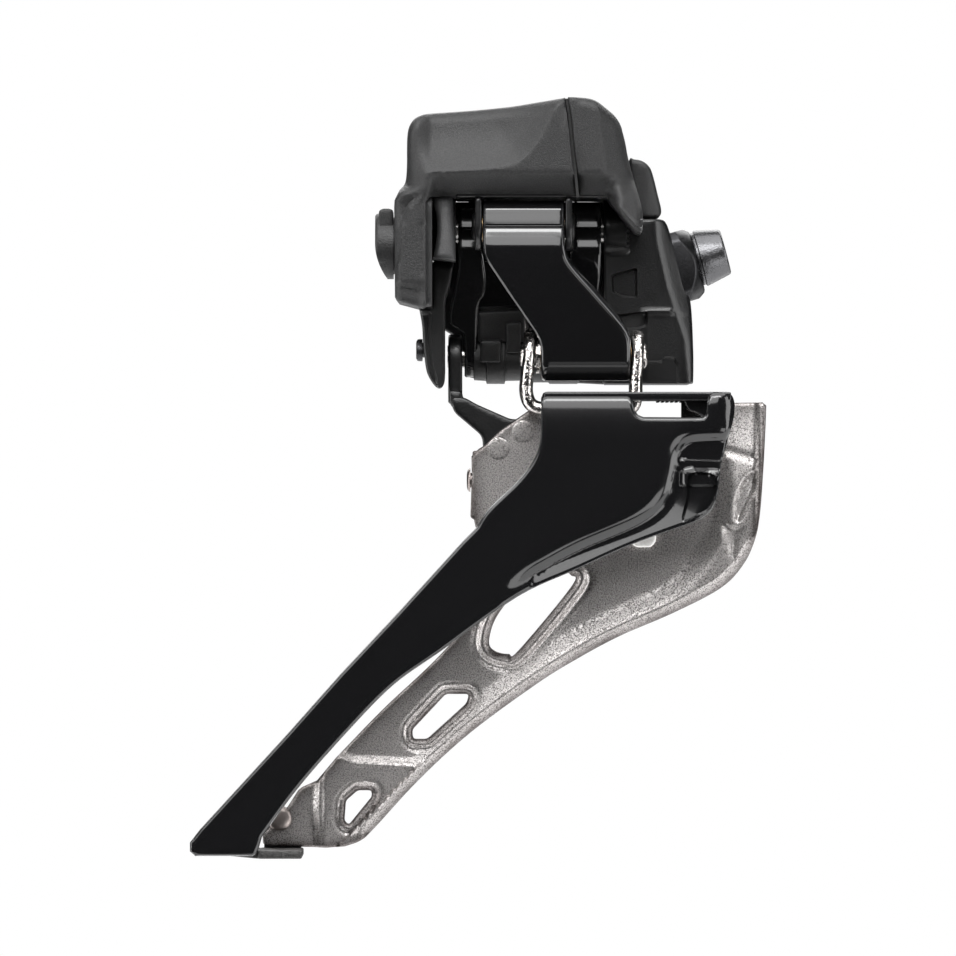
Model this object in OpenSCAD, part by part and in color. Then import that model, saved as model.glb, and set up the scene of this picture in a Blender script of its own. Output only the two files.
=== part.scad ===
// Electric front derailleur for a hanger (braze-on) mount, in millimetres.
// +X points to the front of the bicycle, +Y inboard to the seat tube, +Z up.
// The origin is the middle of the curved seat that bears on the frame's hanger.
// All swing axes run along X, so the cage moves in the YZ plane.

/* [Mount] */
// Lean of the seat tube, which tilts the clamp bolt above the horizontal
seat_tilt = 15; // [13:0.5:17]
// Radius of the curved hanger seat
seat_radius = 16; // [14:0.5:20]
// Thread diameter of the clamp bolt
bolt_d = 5; // [4.8:0.1:5.2]

/* [Linkage] */
// Length of both links between their pins
link_length = 17.6; // [17.2:0.1:18]
// Lean of both links at rest, cage inboard
link_lean = 12; // [10:0.5:14]
// Distance between the outer and the inner link's pins
link_gap = 12; // [11.8:0.1:12.2]
// Diameter of the pivot pins
pin_d = 3; // [2.8:0.1:3.2]
// Diameter of the driven shaft in the inner link
shaft_d = 4; // [3.8:0.1:4.2]

/* [Cage] */
// Clear width between the two cage plates
cage_gap = 11; // [10.5:0.1:11.5]
// Sheet thickness of the outer plate
outer_plate_t = 2; // [1.6:0.1:2.2]
// Sheet thickness of the inner plate
inner_plate_t = 1.5; // [1.2:0.1:1.8]

/* [Motor unit] */
// Width of the motor housing from outboard to inboard
housing_w = 30; // [29.6:0.2:31]
// Wall of the motor housing
wall = 1.3; // [1.2:0.1:1.5]
// Tooth module of the gear train
gear_module = 0.5; // [0.5:0.05:0.5]
// Radius of the plug socket's bore
socket_r = 2.8; // [2.6:0.1:2.9]

/* [Hidden] */
$fn = 48;

fit = 0.03;          // radial clearance of a running fit
gap = 0.2;           // clearance between neighbouring faces that move
pin_r = pin_d / 2;
shaft_r = shaft_d / 2;
bolt_r = bolt_d / 2;

// Pivot places in the YZ plane: outer and inner link, upper and lower
outer_up = [-17, 5.1];
inner_up = [outer_up[0] + link_gap, outer_up[1]];
link_drop = [link_length * sin(link_lean), -link_length * cos(link_lean)];
outer_low = outer_up + link_drop;
inner_low = inner_up + link_drop;
barrel_r = 3.5;

// Places across the bicycle
housing_y0 = -24;
housing_y1 = housing_y0 + housing_w;
plate_y0 = -24.5;                               // outer plate's outer face
plate_y1 = plate_y0 + outer_plate_t;
inner_y0 = plate_y1 + cage_gap;                 // inner plate's chain face
inner_y1 = inner_y0 + inner_plate_t;

// Gear train: teeth, and the axes of the idler and the motor in the YZ plane
output_teeth = 30;
pinion_teeth = 10;
wheel_teeth = 18;
idler_at = inner_up + gear_module * (output_teeth + pinion_teeth) / 2 * [-0.5, 0.866];
motor_at = idler_at + gear_module * (wheel_teeth + pinion_teeth) / 2 * [-0.9786, 0.2057];
output_x = [-33.8, -32.7];
wheel_x = [-32.3, -31.2];
motor_r = 4;

// ---------- helpers ----------

// A solid between two Y planes whose outline is drawn in X and Z
module slab(y0, y1) {
    translate([0, y1, 0]) rotate([90, 0, 0]) linear_extrude(y1 - y0) children();
}
// A rod along X between x0 and x1 about the YZ point at
module rod_x(x0, x1, r, at) {
    translate([x0, at[0], at[1]]) rotate([0, 90, 0]) cylinder(h = x1 - x0, r = r);
}
// A rod along Y between y0 and y1 about the XZ point at
module rod_y(y0, y1, r, at) {
    translate([at[0], y0, at[1]]) rotate([-90, 0, 0]) cylinder(h = y1 - y0, r = r);
}
module box(low, high) {
    translate(low) cube(high - low);
}
// The bolt's own frame: x out of the seat, z up along the seat tube
module on_seat() {
    rotate([0, -seat_tilt, 0]) children();
}
// A link's own frame: pivot at the upper pin, the lower pin straight below
module on_link(up) {
    translate([0, up[0], up[1]]) rotate([link_lean, 0, 0]) children();
}
// Smooth closed or open curve through points, n steps a span (Catmull-Rom)
function blend4(a, b, c, d, t) = 0.5 * (2 * b + (c - a) * t + (2 * a - 5 * b + 4 * c - d) * t * t
    + (3 * b - a - 3 * c + d) * t * t * t);
function curve(p, n = 4) = [for (i = [0:len(p) - 2], k = [0:n - 1])
    blend4(p[max(i - 1, 0)], p[i], p[i + 1], p[min(i + 2, len(p) - 1)], k / n)];
function arc(c, r, a0, a1, n = 8) = [for (k = [0:n])
    c + r * [cos(a0 + (a1 - a0) * k / n), sin(a0 + (a1 - a0) * k / n)]];
// Involute flank: polar angle in degrees at radius r for base radius rb
function involute(rb, r) = let (t = sqrt(max((r / rb) * (r / rb) - 1, 0))) t * 180 / PI - atan(t);
// Outline of a spur gear whose first tooth points at angle a0
function gear_points(teeth, m, a0) = let (
    rp = teeth * m / 2,
    rb = rp * cos(20),
    ra = rp + 0.9 * m,
    rf = rp - 1.2 * m,
    half = 90 / teeth * 0.86 + involute(rb, rp),
    rs = max(rb, rf)
) [for (i = [0:teeth - 1], s = [-1, 1], k = [0:4]) let (
    step = s < 0 ? k : 4 - k,
    r = step == 0 ? rf : rs + (ra - rs) * (step - 1) / 3,
    a = a0 + i * 360 / teeth + s * (half - involute(rb, max(r, rb)) + (step == 0 ? 0.2 * 90 / teeth : 0))
) r * [cos(a), sin(a)]];
// A spur gear on the X axis about the YZ point at; its tooth angle is measured from +Y to +Z
module gear_x(x, teeth, a0, bore, at) {
    translate([x[0], at[0], at[1]]) rotate([90, 0, 90]) linear_extrude(x[1] - x[0]) difference() {
        polygon(gear_points(teeth, gear_module, a0));
        circle(r = bore);
    }
}
function heading(a, b) = atan2(b[1] - a[1], b[0] - a[0]);

// ---------- fixed body: bracket and mount ----------

seat_half = 4.75;
module bracket() {
    block = [[-8.8, 11.2], [-8.8, -15.9], [2.9, -15.9], [3.3, -15.5], [3.3, -10.8], [2.9, -4.3],
        [0.2, 4.5], [-0.5, 6.0], [-0.9, 6.3], [-5.6, 6.3], [-5.6, 11.2]];
    pocket = [[-8.9, -1.6], [-4.3, -0.4], [-4.3, -4.3], [-8.9, -4.2]];
    color("#17181a") difference() {
        union() {
            difference() {
                slab(-7, 8) polygon(block);
                on_seat() box([-0.6, -5.6, -5.6], [8, 9, 5.6]);
            }
            // convex seat for the hanger
            on_seat() intersection() {
                translate([-seat_radius, 0, -5.4]) cylinder(h = 10.8, r = seat_radius, $fn = 96);
                box([-1.2, -seat_half, -5.4], [1, seat_half, 5.4]);
            }
            box([-28.6, -19.9, 8.9], [-6.6, 4.4, 11.2]);
            // back wall that closes the space behind the links
            slab(5, 8) polygon([[-31.75, 8.97], [-31.75, -7.5], [-28.6, -9.5], [-27.2, -14.9], [-8, -15.9],
                [-8, 8.7], [-12.6, 8.7], [-12.6, 8.97]]);
            box([-28.5, 3.2, 7.8], [-8, 5.1, 8.7]);
            intersection() {
                rod_x(-8.8, -5.6, 3.9, inner_up);
                box([-9, -7.55, 0], [-5, 0, 10]);
            }
            for (x = ear_x) {
                rod_x(x, x + 0.9, 3.2, outer_up);
                box([x, outer_up[0] - 3.2, outer_up[1]], [x + 0.9, outer_up[0] + 3.2, 9.6]);
            }
        }
        rod_x(-27, -12, pin_r + 0.01, outer_up);
        rod_x(-9.5, -5.9, 2.9, inner_up);
        on_seat() translate([-4.2, 0, 0]) rotate([0, 90, 0]) cylinder(h = 7.2, r = bolt_r + 0.02);
        rod_y(-8, 9, 2.04, [-6.8, -3]);
        slab(-7.1, -5.8) polygon(pocket);
        // stepped lower front edge and a weight pocket behind
        slab(-7.1, -6.1) polygon([[-8.9, -16], [-8.9, -13.6], [-4, -13.3], [-0.6, -12.9], [1, -12.9],
            [1.6, -14.2], [1.6, -16]]);
        box([-7.3, 2, -13.5], [1.4, 8.1, -7]);
        // holes for the housing screws
        for (p = screw_places) {
            translate([p[0], p[1], 7]) cylinder(h = 5, r = 0.95);
            translate([p[0], p[1], 7]) cylinder(h = 2.5, r = 1.7);
        }
    }
}
ear_x = [-26.1, -14.0];
screw_places = [[-25.5, 2.6], [-15.5, 2.6], [-8.6, -17.5]];

module rear_arm() {
    lobe = [[-31.8, 2], [-31.8, -6.3], [-33.6, -6.3], [-33.1, -8], [-33.1, -10.6], [-32.7, -13.6], [-32.3, -14.8],
        [-31.5, -16.1], [-30.8, -16.4], [-30.2, -15.8], [-30.1, -12.6], [-30.1, -4.8], [-29.6, -3.2], [-29.3, -2],
        [-28.95, 0.5], [-28.75, 2]];
    color("#1d1e20") difference() {
        union() {
            rod_x(-31.8, -28.65, 4.7, inner_up);
            box([-31.8, -2.0, 6], [-28.65, 4.2, 11.1]);
            slab(-9.2, -2.5) polygon(lobe);
        }
        rod_x(-33, -27.8, 2.9, inner_up);
        rod_x(-34.5, -29, 1.02, [-5.8, -11.3]);
    }
}

module shaft_bushes() {
    color("#b08d57") for (x = [[-31.75, -28.7], [-8.75, -5.95]]) difference() {
        rod_x(x[0], x[1], 2.88, inner_up);
        rod_x(x[0] - 1, x[1] + 1, shaft_r + fit, inner_up);
    }
}

module arm_screw() {
    color("#3a3b3d") difference() {
        union() {
            rod_x(-34.0, -33.12, 1.5, [-5.8, -11.3]);
            rod_x(-33.2, -30.3, 1.0, [-5.8, -11.3]);
        }
        translate([-34.1, -5.8, -11.3]) rotate([0, 90, 0]) cylinder(h = 0.6, r = 0.8, $fn = 6);
    }
}

module upper_outer_pin() {
    color("#8f9296") union() {
        rod_x(-26.2, -13.0, pin_r, outer_up);
        rod_x(-26.5, -26.13, 1.9, outer_up);
        rod_x(-13.07, -12.7, 1.9, outer_up);
    }
}

module clamp_bolt() {
    color("#4a4b4e") on_seat() rotate([0, 90, 0]) difference() {
        union() {
            translate([0, 0, -4]) cylinder(h = 8.1, r = bolt_r);
            translate([0, 0, 4]) cylinder(h = 0.5, r = 3.82);
            translate([0, 0, 4.5]) cylinder(h = 3.55, r1 = 3.8, r2 = 3.05);
        }
        translate([0, 0, 5]) cylinder(h = 4, r = 2.31, $fn = 6);
    }
}

module radius_washer() {
    body = [[-4.75, -3.6], [-3.2, -5.2], [3.2, -5.2], [4.75, -3.6], [4.75, 2.7], [3.2, 4.3], [-3.2, 4.3], [-4.75, 2.7]];
    color("#37383a") on_seat() difference() {
        intersection() {
            translate([-0.8, 0, 0]) rotate([90, 0, 90]) linear_extrude(4.75) polygon(body);
            translate([0, 5, 0]) rotate([90, 0, 0]) linear_extrude(10) polygon([[-0.9, 4.4], [3.7, 4.4],
                [4, 3.9], [4, -4.3], [3.5, -5.2], [-0.9, -5.2]]);
        }
        translate([-seat_radius, 0, -6]) cylinder(h = 12, r = seat_radius + 0.04, $fn = 96);
        translate([-2, 0, 0]) rotate([0, 90, 0]) cylinder(h = 9, r = bolt_r + 0.1);
    }
}

module support_screw() {
    color("#2c2d30") difference() {
        union() {
            rod_y(-5.4, 10.4, 2.0, [-6.8, -3]);
            rod_y(10.4, 11.4, 1.5, [-6.8, -3]);
        }
        translate([-6.8, -5.5, -3]) rotate([-90, 0, 0]) cylinder(h = 2.4, r = 1.16, $fn = 6);
    }
}

// ---------- fixed body: motor unit ----------

split_line = [[-14.1, 22.1], [-13.7, 19.8], [-13.3, 15.8], [-12.9, 12.2], [-12.6, 9]];

module motor_housing() {
    upper = concat([[-12.6, 9], [-36.7, 9], [-35.9, 10.1], [-35.2, 11.4], [-35.2, 15.1], [-35.1, 17.4],
        [-34.8, 18.5], [-34.1, 19.5], [-32.4, 20.1], [-25.4, 20.6], [-21.4, 21], [-18.1, 21.5]], split_line);
    room = [[-11, 8.8], [-33.9, 8.8], [-33.9, 16.8], [-33.4, 18], [-32, 18.8], [-25.4, 19.3], [-21, 19.7],
        [-18, 20.2], [-13.6, 20.8], [-11, 20.9]];
    case_outline = [[-36.9, 9.1], [-36.9, -1.2], [-36.7, -4.7], [-35.9, -5.2], [-33.7, -5.8], [-32.6, -5.95],
        [-32.6, 9.1]];
    case_room = [[-35.7, 9.2], [-35.7, -3.3], [-35, -3.9], [-32.5, -4.4], [-32.5, 9.2]];
    color("#2b2c2e") difference() {
        union() {
            difference() {
                slab(housing_y0, housing_y1) polygon(upper);
                slab(housing_y0 + wall, housing_y1 - wall) polygon(room);
            }
            slab(-22.5, 5.2) polygon(case_outline);
            // boss for the idler axle and ribbed posts for the screws
            rod_x(-34.8, -33.85, 1.7, idler_at);
            for (i = [0, 1]) {
                translate([screw_places[i][0], screw_places[i][1], 11.25]) cylinder(h = 3.1, r = 1.7);
                box([screw_places[i][0] - 0.6, screw_places[i][1], 11.25], [screw_places[i][0] + 0.6, 5, 14.3]);
            }
        }
        slab(-13.4, 3.9) polygon(case_room);
        box([-35.4, -13.4, 8], [-32.5, 3.9, 11]);
        rod_x(-39, -33.7, 3.82, socket_at);
        rod_x(-34.6, -30, 0.81, idler_at);
        for (i = [0, 1]) translate([screw_places[i][0], screw_places[i][1], 11]) cylinder(h = 3, r = 0.81);
    }
}

module housing_cap() {
    outline = concat([for (q = split_line) q + [0.4, 0]], [[-8.4, 8.8], [-7.9, 7.9], [-5.2, 4.9], [-4, 4.1],
        [-3.7, 5.8], [-3.9, 7.8], [-5.6, 13.8], [-6.1, 16.4], [-6.6, 18.5], [-7.5, 19.8], [-8.7, 20.8],
        [-10.1, 21.8], [-11.8, 22.1]]);
    room = [[-14.5, 20.8], [-10.6, 20.5], [-8.7, 19.3], [-7.9, 18], [-7, 13.6], [-5.9, 9.6], [-5.9, 8.6],
        [-14.5, 8.6]];
    color("#28292b") difference() {
        union() {
            difference() {
                slab(housing_y0, housing_y1) polygon(outline);
                slab(housing_y0 + wall, housing_y1 - wall) polygon(room);
                box([-9.1, -7.6, 3], [-2, 7, 11.5]);
                box([-5.45, -6.3, 11.4], [-2, 7, 14.7]);
            }
            translate([screw_places[2][0], screw_places[2][1], 11.25]) cylinder(h = 3.1, r = 2);
        }
        translate([screw_places[2][0], screw_places[2][1], 11]) cylinder(h = 3, r = 0.81);
    }
}

module housing_seal() {
    band = concat([for (q = split_line) q + [0.02, 0]],
        [for (i = [len(split_line) - 1:-1:0]) split_line[i] + [0.38, 0]]);
    color("#0c0c0d") intersection() {
        difference() {
            slab(housing_y0 + 0.35, housing_y1 - 0.35) polygon(band);
            slab(housing_y0 + 1.1, housing_y1 - 1.1) polygon([[-15, 8], [-15, 20.95], [-10, 20.95], [-10, 8]]);
        }
        box([-15, -25, 9.2], [-10, 8, 21.7]);
    }
}

module housing_lug() {
    outline = [[-5.2, 6.5], [-5.2, 14.4], [-4.4, 14.4], [-3.5, 14.2], [-2.5, 13.4], [-2.1, 12.3], [-1.0, 7.6],
        [-1.1, 6.8], [-1.7, 6.5]];
    color("#26272a") difference() {
        slab(-6, 5.2) polygon(outline);
        rod_y(2, 6, 1.6, [-3.6, 9.6]);
        rod_y(-3, 6, 0.81, [-3.6, 9.6]);
    }
}

module housing_screws() {
    color("#55575a") {
        for (p = screw_places) translate([p[0], p[1], 8.75]) difference() {
            union() {
                cylinder(h = 0.74, r = 1.5);
                cylinder(h = 5.2, r = 0.8);
            }
            translate([0, 0, -0.1]) cylinder(h = 0.5, r = 0.75, $fn = 6);
        }
        difference() {
            union() {
                rod_y(2.02, 3.2, 1.5, [-3.6, 9.6]);
                rod_y(-2.5, 2.5, 0.8, [-3.6, 9.6]);
            }
            translate([-3.6, 2.6, 9.6]) rotate([-90, 0, 0]) cylinder(h = 1, r = 0.75, $fn = 6);
        }
    }
}

module gear_case_lid() {
    color("#222325") difference() {
        slab(-13.3, 3.8) polygon([[-32.45, 8.3], [-32.45, -4.2], [-31.85, -4.2], [-31.85, 8.3]]);
        rod_x(-33, -31, 2.9, inner_up);
    }
}

module shaft_seal() {
    color("#101010") difference() {
        rod_x(-32.45, -32.0, 2.88, inner_up);
        rod_x(-33, -31, shaft_r + fit, inner_up);
    }
}

socket_at = [-17.4, 2.5];
module port_collar() {
    color("#202123") difference() {
        rod_x(-39.4, -36.92, 4.45, socket_at);
        rod_x(-40, -36, 3.84, socket_at);
        // lower rear edge is swept back, and a keyway crosses the top
        translate([-29.6, 0, 3.8]) rotate([90, 0, 0]) difference() {
            translate([0, -4, 0]) cube([30, 24, 60], center = true);
            cylinder(h = 70, r = 9.8, center = true, $fn = 96);
            translate([-20, 0, -35]) cube([40, 20, 70]);
        }
        box([-38.6, -18.4, 6.2], [-37.6, -16.4, 8]);
    }
}

module wire_socket() {
    color("#141414") difference() {
        rod_x(-38.2, -33.8, 3.8, socket_at);
        rod_x(-38.3, -34.3, socket_r, socket_at);
        for (s = [-1, 1]) rod_x(-34.6, -33.7, 0.42, socket_at + [s * 1.1, 0]);
    }
}

module socket_contacts() {
    color("#c9a24b") for (s = [-1, 1]) rod_x(-34.3, -33.85, 0.4, socket_at + [s * 1.1, 0]);
}

module motor_can() {
    color("#9a9ca0") difference() {
        union() {
            rod_x(-28.6, -15, motor_r, motor_at);
            rod_x(-29.2, -28.5, 1.2, motor_at);
        }
        rod_x(-30, -16.2, 0.55, motor_at);
    }
}

module motor_plate() {
    color("#6d7074") difference() {
        translate([-29.3, 0, 0]) rotate([90, 0, 90]) linear_extrude(0.6) polygon([
            [-20.4, 11.4], [-6.8, 11.4], [-6.8, 17.6], [-8.5, 18.6], [-20.4, 18.6]]);
        rod_x(-30, -28, 1.22, motor_at);
        rod_x(-30, -28, 0.82, idler_at);
    }
}

module idler_axle() {
    color("#c4c6c9") rod_x(-34.5, -28.8, 0.8, idler_at);
}

module circuit_board() {
    color("#1f5a3a") slab(2.6, 3.6) polygon([[-23, 12], [-18, 12], [-18, 14.5], [-13, 14.5], [-13, 12], [-9.5, 12],
        [-9.5, 18.5], [-23, 18.5]]);
}

module board_chips() {
    color("#18191b") {
        box([-22, 1.5, 13], [-19, 2.58, 17]);
        box([-17, 1.8, 15.2], [-14.5, 2.58, 17.7]);
        box([-12.6, 1.6, 13], [-10.2, 2.58, 16]);
    }
}

// ---------- inner link, driven by the motor ----------

module inner_link() {
    z1 = -link_length;
    web = [[-28.4, 0], [-28.4, -5], [-28.9, -8.2], [-29.5, -10.4], [-29.5, -13.2], [-27.5, -13.6], [-27.5, z1],
        [-12, z1], [-12, -14.2], [-9.3, -9.4], [-9.3, 0], [-13, 0], [-13, -2.5], [-13.8, -4.5],
        [-22.2, -4.5], [-23, -2.5], [-23, 0]];
    color("#0e0f10") on_link(inner_up) difference() {
        union() {
            slab(-1.2, 1.4) polygon(web);
            rod_x(-28.4, -23, barrel_r, [0, 0]);
            rod_x(-13, -9.1, barrel_r, [0, 0]);
            rod_x(-26.2, -12, 3.7, [0, z1]);
            rod_x(-27.5, -26.1, 2.8, [0, z1]);
        }
        rod_x(-29, -9, shaft_r, [0, 0]);
        rod_x(-28, -11, 2.1, [0, z1]);
        // room for the ear of the cage under the shoulder
        rod_x(-30.5, -27.55, 3.6, [0, z1]);
    }
}

module drive_shaft() {
    color("#a9acb0") on_link(inner_up) rod_x(-34, -6.1, shaft_r - 0.005, [0, 0]);
}

module output_gear() {
    color("#c2a35a") gear_x(output_x, output_teeth, heading(inner_up, idler_at), shaft_r, inner_up);
}

// Torsion spring: a helix of round wire on the shaft between the link's two barrels
spring_turns = 6;
spring_r = 2.95;
wire_r = 0.4;
wire_sides = 8;
turn_steps = 14;
module saver_spring() {
    steps = spring_turns * turn_steps;
    span = 7.6;
    function ring(i) = let (a = 360 * i / turn_steps) [for (k = [0:wire_sides - 1])
        let (b = 360 * k / wire_sides, r = spring_r + wire_r * cos(b))
        [-21.8 + span * i / steps + wire_r * sin(b), r * cos(a), r * sin(a)]];
    points = [for (i = [0:steps]) each ring(i)];
    sides = [for (i = [0:steps - 1], k = [0:wire_sides - 1]) let (n = (k + 1) % wire_sides)
        [i * wire_sides + k, i * wire_sides + n, (i + 1) * wire_sides + n, (i + 1) * wire_sides + k]];
    ends = [[for (k = [wire_sides - 1:-1:0]) k], [for (k = [0:wire_sides - 1]) steps * wire_sides + k]];
    color("#b9bcc0") on_link(inner_up) polyhedron(points, concat(sides, ends), convexity = 8);
}

module inner_link_bushes() {
    color("#b08d57") on_link(inner_up) for (x = [[-27.5, -24.1], [-15.4, -12]]) difference() {
        rod_x(x[0], x[1], 2.08, [0, -link_length]);
        rod_x(x[0] - 1, x[1] + 1, pin_r + 0.12, [0, -link_length]);
    }
}

// ---------- outer link ----------

module outer_link() {
    z1 = -link_length;
    web = concat([[-14.15, 0], [-14.1, -2.3]], curve([[-13.8, -3.6], [-13.1, -5], [-9.8, -8.7], [-6.7, -12.3],
        [-5.7, -14]], 3), [[-5.3, -15.4], [-5.2, z1], [-17.3, z1], [-17.4, -15.6]],
        curve([[-17.7, -14.6], [-18.6, -13], [-21.4, -9.3], [-24.2, -5.4], [-24.9, -3.6]], 3),
        [[-25.1, -2], [-25.1, 0]]);
    color("#0b0b0c") on_link(outer_up) difference() {
        union() {
            slab(-3.4, 0.6) polygon(web);
            rod_x(-25.1, -14.15, barrel_r, [0, 0]);
            rod_x(-17.3, -5.2, 3.4, [0, z1]);
        }
        rod_x(-26, -13, 2.1, [0, 0]);
        rod_x(-18.5, -5, 2.1, [0, z1]);
        // the two barrels' ends clear their ears
        rod_x(-27, -25.1, 4.4, [0, 0]);
        rod_x(-14.1, -12, 4.4, [0, 0]);
        rod_x(-20, -17.3, 4, [0, z1]);
    }
}

module outer_link_bushes() {
    color("#b08d57") on_link(outer_up) for (s = [[-25.1, -22.1, 0], [-17.1, -14.15, 0],
        [-17.3, -14.3, -link_length], [-8.2, -5.2, -link_length]]) difference() {
        rod_x(s[0], s[1], 2.08, [0, s[2]]);
        rod_x(s[0] - 1, s[1] + 1, pin_r + fit, [0, s[2]]);
    }
}

// ---------- gear train ----------

module idler_gear() {
    a_out = heading(idler_at, inner_up) + 180 / pinion_teeth;
    a_motor = heading(idler_at, motor_at);
    color("#d8d4c4") union() {
        gear_x(output_x, pinion_teeth, a_out, 0.8 + fit, idler_at);
        gear_x(wheel_x, wheel_teeth, a_motor, 0.8 + fit, idler_at);
        difference() {
            rod_x(output_x[1] - 0.01, wheel_x[0] + 0.01, 1.8, idler_at);
            rod_x(output_x[1] - 1, wheel_x[0] + 1, 0.8 + fit, idler_at);
        }
    }
}

module motor_shaft() {
    color("#c4c6c9") rod_x(-32.6, -16.6, 0.5, motor_at);
}

module motor_pinion() {
    color("#c2a35a") gear_x([wheel_x[0] - 0.1, wheel_x[1] + 0.1], pinion_teeth,
        heading(motor_at, idler_at) + 180 / pinion_teeth, 0.5, motor_at);
}

// ---------- cage ----------

bridge_z = [-18.1, -17];
module outer_plate() {
    top = [[-17.3, -17.5], [-17, -17.05], [-5.4, -17.05], [-4.8, -19.5], [-4.1, -20.7], [4.6, -20.8], [4.9, -17.05]];
    lobe = curve([[6, -17], [7.8, -17.2], [8.5, -18.6], [8.3, -20.8], [7.4, -24], [6.6, -27], [6.2, -30.5], [5.6, -32.4],
        [4.4, -33.7], [2.5, -34.6], [-4.8, -37.2], [-12.4, -40.6], [-20.4, -44.3], [-30.7, -51.6],
        [-37, -56.1], [-42.9, -62.1], [-49.4, -69.5], [-54.4, -76.2]], 3);
    tail = [[-54.8, -77.6], [-55.6, -78.8], [-63.5, -78.8], [-64, -78.3], [-64, -77], [-62.6, -75.2],
        [-50.9, -62.4], [-43.8, -54.4], [-36.4, -46.5], [-27.7, -36.9]];
    neck = curve([[-25.8, -35], [-24.2, -32.6], [-20.4, -28.9], [-18.3, -26.1], [-17.4, -23.5], [-17.3, -20]], 3);
    color("#0b0b0c") difference() {
        union() {
            slab(plate_y0, plate_y1) polygon(concat(top, lobe, tail, neck));
            // bridge over the chain and its two flanges on the inner plate
            box([-17, plate_y0 + 0.4, bridge_z[0]], [8, inner_y1 + 1.2, bridge_z[1]]);
            box([-16.5, inner_y1 + 0.02, -23.6], [-6, inner_y1 + 1.2, bridge_z[1]]);
            box([1.6, inner_y1 + 0.02, -23.6], [8, inner_y1 + 1.2, bridge_z[1]]);
        }
        // slot for the yoke's front ear
        box([-5.1, outer_low[0] - 3.7, -18.5], [-3.5, outer_low[0] + 3.7, -16]);
        for (p = bridge_rivet_at) rod_y(inner_y1 - 1, inner_y1 + 2, 1.02, p);
        rod_y(plate_y0 - 1, plate_y1 + 1, 1.02, tail_at[1]);
    }
}
bridge_rivet_at = [[-11.4, -21.9], [5.6, -21.9]];
tail_at = [[-52.3, -74.2], [-57.8, -75.9]];

module inner_plate() {
    top = [[-26.6, -25.4], [-24.9, -24.2], [-22.7, -22.1], [-17.2, -18.3], [-14, -18.4], [-9, -20.6], [-4.2, -20.9],
        [4.4, -20.95], [5.4, -20.4], [5.9, -18.4], [12.6, -18.4], [13.1, -18.9]];
    edge = curve([[12.9, -21.5], [12.6, -27], [12.1, -33.5], [11.4, -37], [9.9, -40.2], [6.9, -43.3], [0.6, -46.6],
        [-6.8, -49.8], [-12.9, -53.1], [-18, -56.3], [-26.7, -62.7], [-33.7, -69.1], [-39.5, -75.4],
        [-41.4, -77.1], [-43.5, -77.9]], 3);
    tail = [[-46, -78.1], [-54.4, -77.9], [-54.6, -77.5], [-54.6, -76.3], [-51.6, -73.2], [-49.6, -70.2],
        [-47.3, -69.1]];
    neck = curve([[-44.7, -66], [-38.4, -59.5], [-31.6, -53.1], [-26.4, -47.3], [-24.2, -43.5], [-24.2, -39.5],
        [-25.9, -35.5], [-26.5, -32]], 3);
    color("#b3aaa6") difference() {
        union() {
            slab(inner_y0, inner_y1) difference() {
                polygon(concat(top, edge, tail, neck));
                polygon(curve([[-23.4, -51.7], [-24.2, -50.4], [-23.1, -47], [-20, -43.6], [-14.7, -41.3],
                    [-13.2, -41.6], [-13.1, -43], [-20.2, -51.6], [-21.6, -52.1], [-23.4, -51.7]], 2));
                polygon([[-34.5, -62.3], [-30, -57.5], [-26.9, -57.5], [-27.2, -58.7], [-32.5, -63.5], [-34.4, -63.5]]);
                polygon([[-43.4, -71.8], [-41.8, -70.4], [-40, -70.4], [-39.9, -71.2], [-43, -75], [-43.6, -74.5]]);
            }
            // rolled rear flange that carries the side rivet
            box([-26.7, inner_y1 - 0.4, -34.5], [-25.5, inner_y1 + 4.6, -24.6]);
        }
        for (p = bridge_rivet_at) rod_y(inner_y0 - 1, inner_y1 + 1, 1.02, p);
        rod_y(inner_y0 - 1, inner_y1 + 1, 1.02, tail_at[0]);
        for (p = ear_rivets) rod_y(inner_y0 - 1, inner_y1 + 1, 1.02, p);
        rod_y(inner_y0 - 1, inner_y1 + 1, 0.82, pad_at);
        rod_x(-28, -24, 1.02, side_rivet_at);
    }
}
pad_at = [-5.5, -34];
side_rivet_at = [inner_y1 + 2.6, -28.8];

module pivot_yoke() {
    color("#d2cfcc") difference() {
        union() {
            for (x = [-19.2, -4.9]) {
                rod_x(x, x + 1.2, 3.4, outer_low);
                box([x, outer_low[0] - 3.4, -18.2], [x + 1.2, outer_low[0] + 3.4, outer_low[1]]);
                box([x, outer_low[0] - 3.4, -19.4], [x + 1.2, outer_low[0] + 1.6, -18]);
            }
            box([-19.2, outer_low[0] - 3.4, -19.4], [-3.7, outer_low[0] + 1.6, bridge_z[0] - 0.02]);
        }
        rod_x(-20, -2, pin_r + 0.01, outer_low);
    }
}

ear_rivets = [[-19.6, -22.3], [-22.9, -24.6]];
module rear_ear() {
    web = [[-29.7, -17.6], [-27.8, -17.6], [-26.2, -18.4], [-21.2, -20.6], [-17.4, -20.1], [-17.1, -22.5],
        [-19, -24.8], [-22, -26.8], [-24.9, -26.4], [-25, -22.8], [-29.7, -18.2]];
    color("#161718") difference() {
        union() {
            rod_x(-29.7, -27.8, 3.0, inner_low);
            box([-29.7, inner_low[0] - 3, -18.4], [-27.8, inner_low[0] + 3, inner_low[1]]);
            slab(inner_y1 + 0.02, inner_y1 + 1.8) polygon(web);
            box([-29.7, inner_y1 + 0.02, -18.6], [-27.8, inner_low[0] + 3, -17.1]);
        }
        rod_x(-31, -27, pin_r + 0.01, inner_low);
        for (p = ear_rivets) rod_y(inner_y0 - 1, inner_y1 + 3, 1.02, p);
    }
}

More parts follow.
